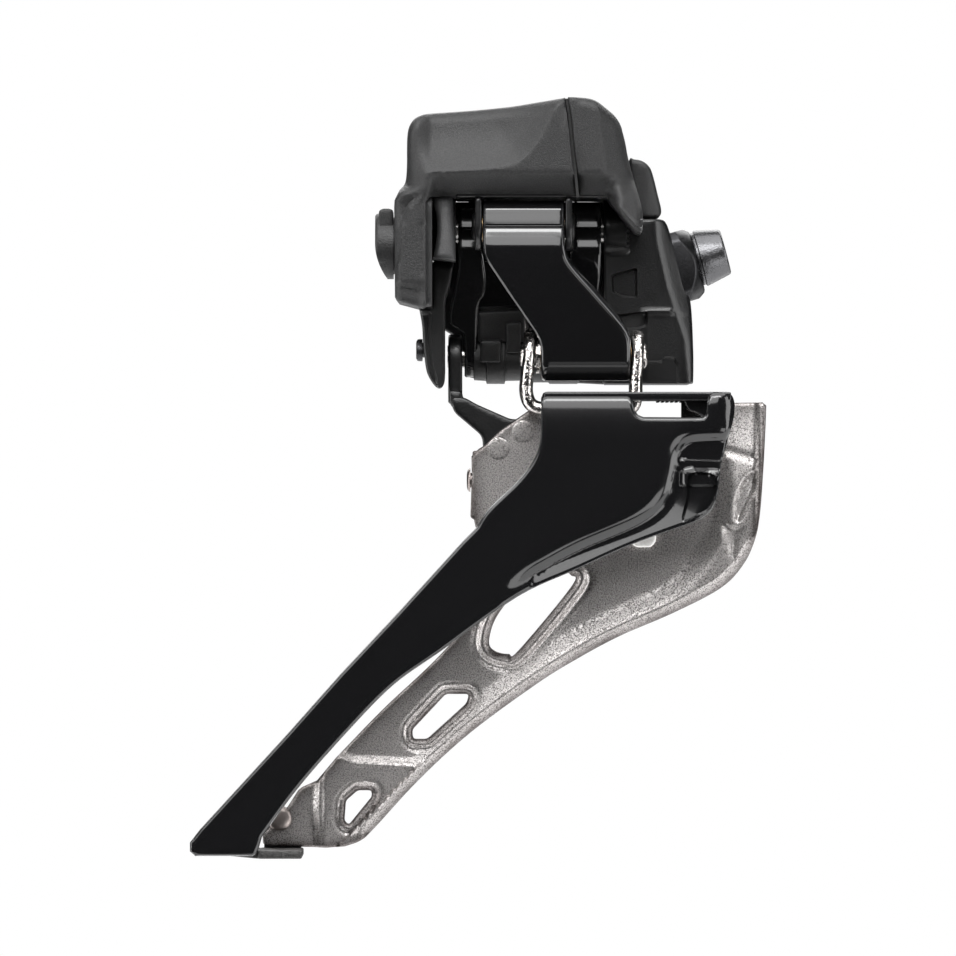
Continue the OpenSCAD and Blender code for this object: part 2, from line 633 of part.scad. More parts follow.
module lower_outer_pin() {
    color("#c9c6c4") union() {
        rod_x(-19.3, -3.6, pin_r, outer_low);
        rod_x(-20.2, -19.22, 1.75, outer_low);
        rod_x(-3.68, -2.9, 1.75, outer_low);
    }
}

module lower_inner_pin() {
    color("#8f9296") rod_x(-29.8, -11.6, pin_r, inner_low);
}

module pin_washers() {
    color("#b9b6b3") difference() {
        rod_x(-17.9, -17.45, 2.4, outer_low);
        rod_x(-19, -16, pin_r + 0.01, outer_low);
    }
}

// A rivet along Y: shank and two low heads
module rivet_y(y0, y1, at) {
    rod_y(y0, y1, 1.0, at);
    rod_y(y0 - 0.5, y0, 1.6, at);
    rod_y(y1, y1 + 0.5, 1.6, at);
}

module bridge_rivets() {
    color("#8b8885") {
        for (p = bridge_rivet_at) rivet_y(inner_y0, inner_y1 + 1.2, p);
        for (p = ear_rivets) rivet_y(inner_y0, inner_y1 + 1.8, p);
    }
}

module flange_rivet() {
    color("#8a7468") union() {
        rod_x(-27.2, -26.75, 1.6, side_rivet_at);
        rod_x(-26.8, -25.4, 1.0, side_rivet_at);
        rod_x(-25.45, -24.9, 1.6, side_rivet_at);
    }
}

// Block that joins the two plates at the tail and wraps under the inner one
module tail_spacer() {
    block = [[-62.6, -78.6], [-55, -79.2], [-49.1, -79.2], [-49.1, -78.15], [-55.3, -78.1], [-55.6, -74.6],
        [-58, -72.6], [-62.4, -77]];
    color("#1b1b1c") difference() {
        union() {
            slab(plate_y1 + 0.02, inner_y0 - 0.02) polygon(block);
            slab(plate_y1 + 0.02, inner_y1 + 1.2) polygon([[-55, -79.2], [-49.1, -79.2], [-49.1, -78.15], [-55, -78.15]]);
            slab(inner_y1 + 0.02, inner_y1 + 1.2) polygon([[-54.4, -79], [-49.4, -79], [-49.4, -73.6], [-51, -72.4],
                [-54.4, -75.6]]);
        }
        rod_y(plate_y1 - 1, inner_y0 + 0.5, 1.02, tail_at[1]);
        rod_y(inner_y1 - 1, inner_y1 + 2, 1.02, tail_at[0]);
    }
}

module tail_rivet() {
    color("#a9a29e") {
        rod_y(inner_y0 - 0.6, inner_y0 - 0.02, 1.65, tail_at[0]);
        rod_y(inner_y0 - 0.3, inner_y1 + 1.4, 1.0, tail_at[0]);
        rod_y(inner_y1 + 1.22, inner_y1 + 1.8, 1.65, tail_at[0]);
        rod_y(plate_y0 + 0.6, inner_y0 - 0.3, 1.0, tail_at[1]);
    }
}

module chain_pad() {
    color("#e9e8e4") union() {
        slab(inner_y0 - 1.2, inner_y0 - 0.02) polygon(concat(arc([-3.9, -36.4], 1.4, 180, 270, 4),
            arc([-3.2, -36.4], 1.4, 270, 360, 4), [[-1.8, -32.2], [-8.5, -32.2], [-8.5, -35]]));
        rod_y(inner_y0 - 0.5, inner_y1 + 0.4, 0.8, pad_at);
    }
}

bracket();
rear_arm();
motor_housing();
housing_cap();
housing_seal();
housing_lug();
housing_screws();
gear_case_lid();
shaft_seal();
port_collar();
wire_socket();
socket_contacts();
motor_can();
motor_plate();
idler_axle();
circuit_board();
board_chips();
shaft_bushes();
upper_outer_pin();
arm_screw();
clamp_bolt();
radius_washer();
support_screw();
inner_link();
drive_shaft();
output_gear();
saver_spring();
inner_link_bushes();
outer_link();
outer_link_bushes();
idler_gear();
motor_shaft();
motor_pinion();
outer_plate();
inner_plate();
pivot_yoke();
rear_ear();
lower_outer_pin();
lower_inner_pin();
pin_washers();
bridge_rivets();
tail_rivet();
tail_spacer();
flange_rivet();
chain_pad();
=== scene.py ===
import math

import bpy
import numpy as np
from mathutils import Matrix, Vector
from mathutils.geometry import delaunay_2d_cdt


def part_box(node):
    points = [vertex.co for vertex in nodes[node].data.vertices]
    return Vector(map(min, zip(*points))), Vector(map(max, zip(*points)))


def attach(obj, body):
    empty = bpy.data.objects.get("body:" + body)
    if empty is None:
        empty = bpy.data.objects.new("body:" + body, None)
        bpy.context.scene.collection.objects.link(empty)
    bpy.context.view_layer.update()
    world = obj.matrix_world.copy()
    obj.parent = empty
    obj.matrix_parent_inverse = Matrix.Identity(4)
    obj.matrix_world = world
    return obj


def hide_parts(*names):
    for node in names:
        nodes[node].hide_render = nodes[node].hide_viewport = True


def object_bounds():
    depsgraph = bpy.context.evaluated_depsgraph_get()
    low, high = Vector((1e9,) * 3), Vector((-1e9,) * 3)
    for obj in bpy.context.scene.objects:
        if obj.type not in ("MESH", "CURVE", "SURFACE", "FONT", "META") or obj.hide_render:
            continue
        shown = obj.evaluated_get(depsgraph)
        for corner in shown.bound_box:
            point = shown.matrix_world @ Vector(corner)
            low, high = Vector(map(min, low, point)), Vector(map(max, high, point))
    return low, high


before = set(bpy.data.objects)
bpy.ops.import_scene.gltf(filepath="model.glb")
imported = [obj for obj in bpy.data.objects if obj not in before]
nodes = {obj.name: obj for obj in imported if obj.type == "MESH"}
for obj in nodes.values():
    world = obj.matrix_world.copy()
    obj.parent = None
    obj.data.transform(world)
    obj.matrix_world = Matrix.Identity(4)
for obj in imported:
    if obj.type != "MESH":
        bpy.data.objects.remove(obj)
cad_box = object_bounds()

MM = 0.001


def corner(node, which):
    """Lowest (0) or highest (1) corner of a CAD node, in millimetres."""
    return np.array(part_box(node)[which]) / MM


def axis_of(node):
    """Where a pin along X stands in the YZ plane: the middle of its box."""
    middle = (corner(node, 0) + corner(node, 1)) / 2
    return middle[1], middle[2]


OUTER_UP = axis_of("upper_outer_pin")
INNER_UP = axis_of("drive_shaft")
OUTER_LOW = axis_of("lower_outer_pin")
INNER_LOW = axis_of("lower_inner_pin")
LEAN = math.atan2(OUTER_LOW[0] - OUTER_UP[0], OUTER_UP[1] - OUTER_LOW[1])
LINK = math.hypot(OUTER_LOW[0] - OUTER_UP[0], OUTER_UP[1] - OUTER_LOW[1])
SEAT_TILT = math.radians(15)
SEAT_RADIUS = 16.0
WASHER_GAP = 0.02
PLATE_Y = corner("outer_plate", 0)[1]
INNER_Y = corner("inner_plate", 0)[1]
INNER_T = 1.5
INNER_BACK = INNER_Y + INNER_T
HOUSING_Y = corner("motor_housing", 0)[1], corner("motor_housing", 1)[1]


# ---------------------------------------------------------------- shapes

def soft(points, closed=False, n=6):
    """Catmull-Rom curve through the points, n steps a span."""
    p = np.array(points, float)
    if closed:
        a, b, c, d = np.roll(p, 1, 0), p, np.roll(p, -1, 0), np.roll(p, -2, 0)
    else:
        q = np.vstack([2 * p[0] - p[1], p, 2 * p[-1] - p[-2]])
        a, b, c, d = q[:-3], q[1:-2], q[2:-1], q[3:]
    t = (np.arange(n) / n)[None, :, None]
    a, b, c, d = (v[:, None, :] for v in (a, b, c, d))
    out = 0.5 * (2 * b + (c - a) * t + (2 * a - 5 * b + 4 * c - d) * t ** 2
                 + (3 * b - a - 3 * c + d) * t ** 3)
    out = out.reshape(-1, p.shape[1])
    return out if closed else np.vstack([out, p[-1]])


def ring(*runs):
    """Joins runs of points into one closed outline, without doubled points."""
    p = np.vstack([np.array(r, float) for r in runs])
    keep = np.linalg.norm(p - np.roll(p, 1, 0), axis=1) > 1e-4
    return p[keep]


def fillet(points, radius, n=5):
    """Rounds every corner of a closed outline: each becomes a quadratic arc that
    starts and ends at most radius before and after the corner."""
    p = np.array(points, float)
    before, after = np.roll(p, 1, 0) - p, np.roll(p, -1, 0) - p
    lb, la = np.linalg.norm(before, axis=1), np.linalg.norm(after, axis=1)
    r = np.minimum(np.broadcast_to(radius, lb.shape), 0.45 * np.minimum(lb, la))
    s = p + before * (r / lb)[:, None]
    e = p + after * (r / la)[:, None]
    t = np.linspace(0, 1, n)[None, :, None]
    out = (1 - t) ** 2 * s[:, None] + 2 * t * (1 - t) * p[:, None] + t ** 2 * e[:, None]
    return ring(out.reshape(-1, 2))


def spaced(outline, apart):
    """The same closed outline with points no further apart than a given length."""
    p = np.array(outline, float)
    q = np.roll(p, -1, 0)
    count = np.maximum(1, np.ceil(np.linalg.norm(q - p, axis=1) / apart).astype(int))
    which = np.repeat(np.arange(len(p)), count)
    start = np.repeat(np.cumsum(count) - count, count)
    t = ((np.arange(len(which)) - start) / count[which])[:, None]
    return p[which] * (1 - t) + q[which] * t


def inside(points, outlines):
    """Even-odd test of points against closed outlines."""
    odd = np.zeros(len(points), bool)
    for line in outlines:
        a, b = line, np.roll(line, -1, 0)
        for part in np.array_split(np.arange(len(points)), max(1, len(points) // 4000)):
            x, z = points[part, 0, None], points[part, 1, None]
            cross = (a[None, :, 1] > z) != (b[None, :, 1] > z)
            with np.errstate(divide="ignore", invalid="ignore"):
                at = a[None, :, 0] + (z - a[None, :, 1]) * (b - a)[None, :, 0] / (b - a)[None, :, 1]
            odd[part] ^= (np.sum(cross & (x < at), axis=1) % 2).astype(bool)
    return odd


def gap_to(points, line, closed=True):
    """Distance from each point to a line of segments."""
    a = np.array(line, float)
    b = np.roll(a, -1, 0)
    if not closed:
        a, b = a[:-1], b[:-1]
    d = b - a
    size = np.maximum((d ** 2).sum(1), 1e-12)
    out = np.empty(len(points))
    for part in np.array_split(np.arange(len(points)), max(1, len(points) // 3000)):
        p = points[part, None, :]
        t = np.clip(((p - a) * d).sum(2) / size, 0, 1)
        out[part] = np.sqrt((((a + t[..., None] * d) - p) ** 2).sum(2).min(1))
    return out


def side_of(points, line):
    """Signed distance to an open line: positive on its right-hand side, walking along it."""
    a = np.array(line, float)
    d = a[1:] - a[:-1]
    size = np.maximum((d ** 2).sum(1), 1e-12)
    out = np.empty(len(points))
    for part in np.array_split(np.arange(len(points)), max(1, len(points) // 3000)):
        p = points[part, None, :]
        t = np.clip(((p - a[:-1]) * d).sum(2) / size, 0, 1)
        away = p - (a[:-1] + t[..., None] * d)
        far = np.sqrt((away ** 2).sum(2))
        k = far.argmin(1)
        row = np.arange(len(part))
        turn = d[k, 1] * away[row, k, 0] - d[k, 0] * away[row, k, 1]
        out[part] = np.where(turn >= 0, 1, -1) * far[row, k]
    return out


def step(t):
    """Smooth step from 0 to 1 as t goes from 0 to 1."""
    t = np.clip(t, 0, 1)
    return t * t * (3 - 2 * t)


def pocket(points, outline, depth, slope):
    """Depth inside a closed outline, fading to 0 over slope, half of it on each side of the line."""
    d = gap_to(points, outline)
    s = np.where(inside(points, [np.array(outline, float)]), d, -d)
    return depth * step(s / slope + 0.5)


def join(*parts):
    """Several (vertices, faces, rim) meshes as one."""
    verts, faces, rims, n = [], [], [], 0
    for v, f, r in parts:
        verts.append(v)
        faces += [tuple(i + n for i in face) for face in f]
        rims.append(r)
        n += len(v)
    return np.vstack(verts), faces, np.concatenate(rims)


def moved(part, to):
    """A mesh with its vertices passed through the mapping to(x, y, z)."""
    v, f, r = part
    return np.stack(to(v[:, 0], v[:, 1], v[:, 2]), 1), f, r


def flipped(part):
    """A mesh with its faces turned inside out, for a wall round a hollow."""
    v, f, r = part
    return v, [tuple(reversed(x)) for x in f], r


def moved_line(line, distance):
    """The line shifted sideways by a distance, to its right."""
    p = np.array(line, float)
    t = np.gradient(p, axis=0)
    t /= np.linalg.norm(t, axis=1)[:, None]
    return p + distance * np.stack([t[:, 1], -t[:, 0]], 1)


def along(line, grain, closed):
    """Points along a line no further apart than grain, and the unit normal at each."""
    p = spaced(line, grain) if closed else spaced(np.vstack([line, np.array(line)[-2:0:-1]]), grain)
    if not closed:
        p = p[:np.argmin(np.linalg.norm(p - np.array(line, float)[-1], axis=1)) + 1]
        t = np.gradient(p, axis=0)
    else:
        t = np.roll(p, -1, 0) - np.roll(p, 1, 0)
    t = t / np.maximum(np.linalg.norm(t, axis=1), 1e-9)[:, None]
    return p, np.stack([-t[:, 1], t[:, 0]], 1)


# A slab's mesh: height of a lattice row over its spacing, the angles round the edge that get a
# ring of points, the edge radius assumed where it varies, and how fast the rim value fades (mm).
LATTICE_ROW = 0.866
RING_ANGLES = (28, 52, 74)
WIDEST_EDGE = 0.8
RIM_FADE = 0.45


def slab(outline, front, back, holes=(), grain=0.5, r_front=0.3, r_back=0.3, creases=()):
    """A closed solid over an outline in the XZ plane. Its front (-Y) and back (+Y) are heights
    over that plane, numbers or functions of the points, and both fall away round the edge by
    r - sqrt(r^2 - (r - d)^2), where d is the distance to the edge. Grid points lie on a
    triangular lattice, rings of points follow the edge through the rounding, and two or three
    rows of points follow each crease (line, closed, half width)."""
    lines = [spaced(np.array(o, float), grain) for o in (outline, *holes)]
    lo, hi = lines[0].min(0), lines[0].max(0)
    nx, nz = (np.ceil((hi - lo) / [grain, grain * LATTICE_ROW]).astype(int) + 1)
    gx, gz = np.meshgrid(np.arange(nx), np.arange(nz))
    lattice = np.stack([lo[0] + (gx + 0.5 * (gz % 2)) * grain, lo[1] + gz * grain * LATTICE_ROW], 2)
    lattice = lattice.reshape(-1, 2)
    reach = max(WIDEST_EDGE if callable(r) else r for r in (r_front, r_back))
    rings = reach * (1 - np.cos(np.radians(RING_ANGLES))) if reach > 0.05 else np.zeros(0)
    rows = []
    for line in lines:
        out = np.roll(line, -1, 0) - np.roll(line, 1, 0)
        long = np.maximum(np.linalg.norm(out, axis=1), 1e-9)
        normal = np.stack([-out[:, 1], out[:, 0]], 1) / long[:, None]
        rows += [(line + normal * k * d, d) for d in rings for k in (-1, 1)]
    border = np.vstack(lines)
    extra = np.vstack([r for r, d in rows]) if rows else np.zeros((0, 2))
    if len(extra):
        gap = np.min([gap_to(extra, line) for line in lines], axis=0)
        want = np.concatenate([np.full(len(r), d) for r, d in rows])
        extra = extra[inside(extra, lines) & (gap > want * 0.93)]
    gap = np.min([gap_to(lattice, line) for line in lines], axis=0)
    floor = (rings[-1] if len(rings) else 0) + grain * 0.4
    lattice = lattice[inside(lattice, lines) & (gap > floor)]
    for line, closed, half in creases:
        lattice = lattice[gap_to(lattice, line, closed) > half + grain * 0.45]
        p, normal = along(line, grain * 0.8, closed)
        new = np.vstack([p + normal * k for k in (-half, 0, half)])
        want = np.repeat([half, 0, half], len(p))
        new = new[gap_to(new, line, closed) > want * 0.9]
        new = new[inside(new, lines)]
        new = new[np.min([gap_to(new, edge) for edge in lines], axis=0) > 0.12]
        extra = np.vstack([extra, new])
    edges, n = [], 0
    for line in lines:
        k = np.arange(len(line)) + n
        edges += list(zip(k.tolist(), np.roll(k, -1).tolist()))
        n += len(line)
    flat = np.vstack([border, extra, lattice])
    made = delaunay_2d_cdt([Vector(p) for p in flat.tolist()], edges, [], 0, 1e-5)
    flat = np.array([(v[0], v[1]) for v in made[0]])
    tris = np.array(made[2])
    tris = tris[inside(flat[tris].mean(1), lines)]
    used, tris = np.unique(tris, return_inverse=True)
    tris = tris.reshape(-1, 3)
    flat = flat[used]
    a, b = flat[tris[:, 1]] - flat[tris[:, 0]], flat[tris[:, 2]] - flat[tris[:, 0]]
    area = a[:, 0] * b[:, 1] - a[:, 1] * b[:, 0]
    tris = np.where((area < 0)[:, None], tris[:, ::-1], tris)
    gap = np.min([gap_to(flat, line) for line in lines], axis=0)

    def height(face, r, sign):
        y = face(flat) if callable(face) else np.full(len(flat), float(face))
        radius = r(flat) if callable(r) else np.full(len(flat), float(r))
        d = np.clip(radius - gap, 0, None)
        return y + sign * (radius - np.sqrt(np.maximum(radius ** 2 - d ** 2, 0)))

    y0, y1 = height(front, r_front, 1), height(back, r_back, -1)
    m = len(flat)
    verts = np.vstack([np.stack([flat[:, 0], y, flat[:, 1]], 1) for y in (y0, y1)])
    pairs = np.vstack([tris[:, [0, 1]], tris[:, [1, 2]], tris[:, [2, 0]]])
    key = pairs[:, 0] * m + pairs[:, 1]
    alone = pairs[~np.isin(key, pairs[:, 1] * m + pairs[:, 0])]
    walls = np.stack([alone[:, 1], alone[:, 0], alone[:, 0] + m, alone[:, 1] + m], 1)
    faces = [tuple(t) for t in tris.tolist()]
    faces += [tuple(t) for t in (tris[:, ::-1] + m).tolist()]
    faces += [tuple(t) for t in walls.tolist()]
    rim = np.exp(-gap / RIM_FADE)
    return verts, faces, np.concatenate([rim, rim])


def bands(rows, n, closed=False):
    """Quads between neighbouring rows of n points, each row a loop. Point k of row i joins point
    k + 1 of the same row and both points of the next row; closed joins the last row to the first."""
    i = np.arange(rows if closed else rows - 1)[:, None] * n
    j = (i + n) % (rows * n)
    k = np.arange(n)
    after = (k + 1) % n
    return np.stack([i + k, i + after, j + after, j + k], 2).reshape(-1, 4)


def turned(profile, segs=64, hexed=()):
    """A closed solid of revolution about the X axis. The profile is (x, radius) from pole to
    pole; rows listed in hexed follow a hexagon with that corner radius instead of a circle."""
    p = np.array(profile, float)
    a = np.arange(segs) * 2 * np.pi / segs
    flat6 = math.cos(math.pi / 6) / np.cos(np.mod(a, np.pi / 3) - np.pi / 6)
    r = p[:, 1, None] * np.where(np.isin(np.arange(len(p)), hexed)[:, None], flat6[None], 1.0)
    x = np.repeat(p[:, 0, None], segs, 1)
    verts = np.stack([x, r * np.cos(a), r * np.sin(a)], 2)[1:-1].reshape(-1, 3)
    rows = len(p) - 2
    verts = np.vstack([verts, [p[0, 0], 0, 0], [p[-1, 0], 0, 0]])
    k = np.arange(segs)
    nxt = (k + 1) % segs
    faces = bands(rows, segs)[:, (0, 3, 2, 1)].tolist()
    faces += np.stack([np.full(segs, rows * segs), k, nxt], 1).tolist()
    last = (rows - 1) * segs
    faces += np.stack([np.full(segs, rows * segs + 1), last + nxt, last + k], 1).tolist()
    return verts, [tuple(f) for f in faces], np.zeros(len(verts))


def rounded(x0, x1, r, edge=0.3, n=4):
    """Profile of a plain barrel from x0 to x1 with rounded rims."""
    t = np.linspace(0, np.pi / 2, n)
    rims = [(x0 + edge * (1 - math.cos(a)), r - edge * (1 - math.sin(a))) for a in t]
    ends = [(x1 - edge * (1 - math.cos(a)), r - edge * (1 - math.sin(a))) for a in t[::-1]]
    return [(x0, 0), *rims, *ends, (x1, 0)]


def on_x(at):
    """Mapping from the turned frame to an axis along X through the YZ point."""
    return lambda x, y, z: (x, y + at[0], z + at[1])


def on_y(at, sign=1):
    """Mapping of a turned shape on to an axis along Y (x becomes y) through the XZ point."""
    return lambda x, y, z: (at[0] + sign * z, x, at[1] + y)


def on_link(up):
    """Mapping from a link's own frame, hung straight down, to its lean about the upper pin."""
    c, s = math.cos(LEAN), math.sin(LEAN)
    return lambda x, y, z: (x, up[0] + y * c - z * s, up[1] + y * s + z * c)


def on_seat(x, y, z):
    """Mapping from the clamp bolt's frame (x out of the seat) to the row frame."""
    c, s = math.cos(SEAT_TILT), math.sin(SEAT_TILT)
    return x * c - z * s, y, x * s + z * c


def across_x(u, v, w):
    """Mapping that stands a slab across the X axis: its outline is then (y, z)."""
    return v, u, w


def slab_on_seat(u, v, w):
    """Mapping that lays a slab on the tilted hanger seat, facing out of it."""
    return on_seat(-v, u, w)


def seat_curve(p):
    """Depth of the hanger seat's cylinder behind its crown, at each point across the seat."""
    return SEAT_RADIUS - np.sqrt(SEAT_RADIUS ** 2 - p[:, 0] ** 2)


def strap(profile, left, right, edge=0.35, cells=6):
    """A solid swept along X. The profile is a closed loop of (y, z) points; the strap reaches
    from x = left(z) to x = right(z), and each end is rounded by drawing the loop inwards."""
    p = np.array(profile, float)
    tangent = np.roll(p, -1, 0) - np.roll(p, 1, 0)
    normal = np.stack([tangent[:, 1], -tangent[:, 0]], 1)
    normal /= np.maximum(np.linalg.norm(normal, axis=1), 1e-9)[:, None]
    if np.sum((p - p.mean(0)) * normal) < 0:
        normal = -normal
    a = np.radians([0, 22, 45, 68, 90])
    shrink = edge * (1 - np.sin(a))
    inward = edge * (1 - np.cos(a))
    l, r = left(p[:, 1]), right(p[:, 1])
    rows = [(l + x, s) for x, s in zip(inward, shrink)]
    rows += [((l + edge) + (r - l - 2 * edge) * k / cells, 0) for k in range(1, cells)]
    rows += [(r - x, s) for x, s in zip(inward[::-1], shrink[::-1])]
    verts = np.vstack([np.column_stack([x, p - normal * s]) for x, s in rows])
    n, m = len(p), len(rows)
    faces = bands(m, n).tolist()
    half = n // 2
    for i, turn in ((0, 1), (m - 1, -1)):
        lid = np.stack([np.arange(half - 1), n - 1 - np.arange(half - 1), n - 2 - np.arange(half - 1),
                np.arange(half - 1) + 1], 1) + i * n
        faces += (lid[:, ::turn]).tolist()
    rim = np.repeat([1.0 if s > 0 else 0.0 for x, s in rows], n)
    return verts, [tuple(f) for f in faces], rim


def capsule(r_top, r_low, length, y_front, y_back, n=18):
    """Loop in the YZ plane of a link hung straight down. Down the front: a quarter of the upper
    barrel, a groove, the swollen top of the web, the flat web, and the lower barrel. Up the
    back: the two barrels and the web at the height y_back. Point k faces point -1-k."""
    top = soft([[0, r_top], [-0.8, r_top - 0.02], [-1.5, r_top - 0.12], [-2.05, r_top - 0.38],
            [-2.38, r_top - 0.75], [-2.62, 2.1], [-2.85, 1.45], [-3.05, 0.82]], n=5)
    bulge = soft([[top[-1, 0], top[-1, 1]], [y_front + 0.42, 0.66], [y_front + 0.05, 0.42],
            [y_front - 0.40, -0.35], [y_front - 0.80, -1.2], [y_front - 1.08, -2.1], [y_front - 1.18, -3.2],
            [y_front - 1.02, -5.0], [y_front - 0.52, -8.0], [y_front - 0.12, -11.0], [y_front, -13.0],
            [-r_low, -length]], n=5)[1:]
    a = np.linspace(0, np.pi / 2, n)[1:]
    low = np.stack([-r_low * np.cos(a), -length - r_low * np.sin(a)], 1)
    front = np.vstack([top, bulge, low])
    z = front[:, 1]
    back_r = np.where(z > -length / 2, r_top, r_low)
    centre = np.where(z > -length / 2, 0.0, -length)
    round_back = np.sqrt(np.maximum(back_r ** 2 - (z - centre) ** 2, 0))
    ease = step((-z - 0.5) / 2.6) * step((z + length - 0.5) / 2.6)
    inner = np.where((z < -0.5) & (z > -length + 0.5), y_back, round_back)
    back = np.stack([round_back * (1 - ease) + inner * ease, z], 1)
    return np.vstack([front, back[::-1]])


# ---------------------------------------------------------------- pieces

def piece(name, part, body, finish_name, replaced=(), sharp=38):
    """Puts one mesh (in millimetres) into the scene at the origin, smooth-shaded with its hard
    edges kept, and makes it ride on its body."""
    verts, faces, rim = part
    mesh = bpy.data.meshes.new(name)
    mesh.from_pydata((verts * MM).tolist(), [], faces)
    mesh.validate()
    attribute = mesh.attributes.new("rim", "FLOAT", "POINT")
    attribute.data.foreach_set("value", np.asarray(rim, np.float32))
    mesh.shade_smooth()
    mesh.set_sharp_from_angle(angle=math.radians(sharp))
    mesh.materials.append(finishes[finish_name])
    thing = bpy.data.objects.new(name, mesh)
    bpy.context.scene.collection.objects.link(thing)
    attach(thing, body)
    if replaced:
        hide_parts(*replaced)


# ---------------------------------------------------------------- shader groups

def group(name, inputs, outputs):
    """An empty shader group with float inputs {name: value} and outputs {name: socket type}."""
    g = bpy.data.node_groups.new(name, "ShaderNodeTree")
    for label, value in inputs.items():
        s = g.interface.new_socket(name=label, in_out="INPUT", socket_type="NodeSocketFloat")
        s.default_value = value
    for label, kind in outputs.items():
        g.interface.new_socket(name=label, in_out="OUTPUT", socket_type=kind)
    return g, g.nodes.new("NodeGroupInput"), g.nodes.new("NodeGroupOutput")


def add(tree, kind, links=(), **settings):
    """A node with its properties set, and links as (input, output socket or plain value)."""
    node = tree.nodes.new(kind)
    for key, value in settings.items():
        setattr(node, key, value)
    for label, source in links:
        if isinstance(source, bpy.types.NodeSocket):
            tree.links.new(source, node.inputs[label])
        else:
            node.inputs[label].default_value = source
    return node


def object_coords(tree):
    return add(tree, "ShaderNodeTexCoord").outputs["Object"]


def build_grain():
    """Moulded or blasted grain: two layers of noise of a given grain size, as a height from 0 to 1
    and a mask of its darker specks."""
    g, gi, go = group("grain", {"Size": 3000.0, "Fine": 0.5, "Contrast": 1.0},
            {"Height": "NodeSocketFloat", "Speck": "NodeSocketFloat"})
    where = object_coords(g)
    coarse = add(g, "ShaderNodeTexNoise", [("Vector", where), ("Scale", gi.outputs["Size"]), ("Detail", 2.0),
            ("Roughness", 0.55)])
    double = add(g, "ShaderNodeMath", [(0, gi.outputs["Size"]), (1, 2.7)], operation="MULTIPLY")
    fine = add(g, "ShaderNodeTexNoise", [("Vector", where), ("Scale", double.outputs[0]), ("Detail", 1.0)])
    weight = add(g, "ShaderNodeMath", [(0, fine.outputs["Fac"]), (1, gi.outputs["Fine"])],
            operation="MULTIPLY")
    total = add(g, "ShaderNodeMath", [(0, coarse.outputs["Fac"]), (1, weight.outputs[0])], operation="ADD")
    shifted = add(g, "ShaderNodeMath", [(0, total.outputs[0]), (1, -0.75)], operation="ADD")
    strong = add(g, "ShaderNodeMath", [(0, shifted.outputs[0]), (1, gi.outputs["Contrast"])],
            operation="MULTIPLY")
    centre = add(g, "ShaderNodeMath", [(0, strong.outputs[0]), (1, 0.5)], operation="ADD", use_clamp=True)
    g.links.new(centre.outputs[0], go.inputs["Height"])
    speck = add(g, "ShaderNodeMapRange", [("Value", coarse.outputs["Fac"]), ("From Min", 0.38),
            ("From Max", 0.62)])
    g.links.new(speck.outputs[0], go.inputs["Speck"])
    return g


def build_edge():
    """Edge mask for worn edges, and for painted edge shade on the blasted silver: the mesh's own rim value,
    broken up by noise.
    """
    g, gi, go = group("edge_wear_and_shade", {"Reach": 0.5, "Breakup": 400.0, "Spread": 1.0},
            {"Mask": "NodeSocketFloat"})
    rim = add(g, "ShaderNodeAttribute", attribute_name="rim")
    noise = add(g, "ShaderNodeTexNoise", [("Vector", object_coords(g)), ("Scale", gi.outputs["Breakup"]),
            ("Detail", 3.0)])
    lift = add(g, "ShaderNodeMath", [(0, noise.outputs["Fac"]), (1, 0.5)], operation="ADD")
    wide = add(g, "ShaderNodeMath", [(0, rim.outputs["Fac"]), (1, gi.outputs["Spread"])], operation="POWER")
    worn = add(g, "ShaderNodeMath", [(0, wide.outputs[0]), (1, lift.outputs[0])], operation="MULTIPLY")
    mask = add(g, "ShaderNodeMapRange", [("Value", worn.outputs[0]), ("From Min", gi.outputs["Reach"]),
            ("From Max", 1.1)])
    g.links.new(mask.outputs[0], go.inputs["Mask"])
    return g


def build_cloud():
    """Slow variation over the surface, from 0 to 1, for smudges and uneven plating."""
    g, gi, go = group("cloud", {"Size": 120.0}, {"Value": "NodeSocketFloat"})
    noise = add(g, "ShaderNodeTexNoise", [("Vector", object_coords(g)), ("Scale", gi.outputs["Size"]),
            ("Detail", 4.0), ("Roughness", 0.6)])
    g.links.new(noise.outputs["Fac"], go.inputs["Value"])
    return g


def build_lathe():
    """Fine turning lines: bands across an axis, given by the direction's X, Y and Z."""
    g, gi, go = group("lathe", {"X": 1.0, "Y": 0.0, "Z": 0.0, "Lines": 5000.0},
            {"Height": "NodeSocketFloat"})
    axis = add(g, "ShaderNodeCombineXYZ", [(k, gi.outputs[k]) for k in "XYZ"])
    along = add(g, "ShaderNodeVectorMath", [(0, object_coords(g)), (1, axis.outputs[0])],
            operation="DOT_PRODUCT")
    scaled = add(g, "ShaderNodeMath", [(0, along.outputs["Value"]), (1, gi.outputs["Lines"])],
            operation="MULTIPLY")
    noise = add(g, "ShaderNodeTexNoise", [("W", scaled.outputs[0]), ("Scale", 1.0), ("Detail", 2.0)],
                noise_dimensions="1D")
    g.links.new(noise.outputs["Fac"], go.inputs["Height"])
    return g


GRAIN, EDGE, CLOUD, LATHE = build_grain(), build_edge(), build_cloud(), build_lathe()
finishes = {}


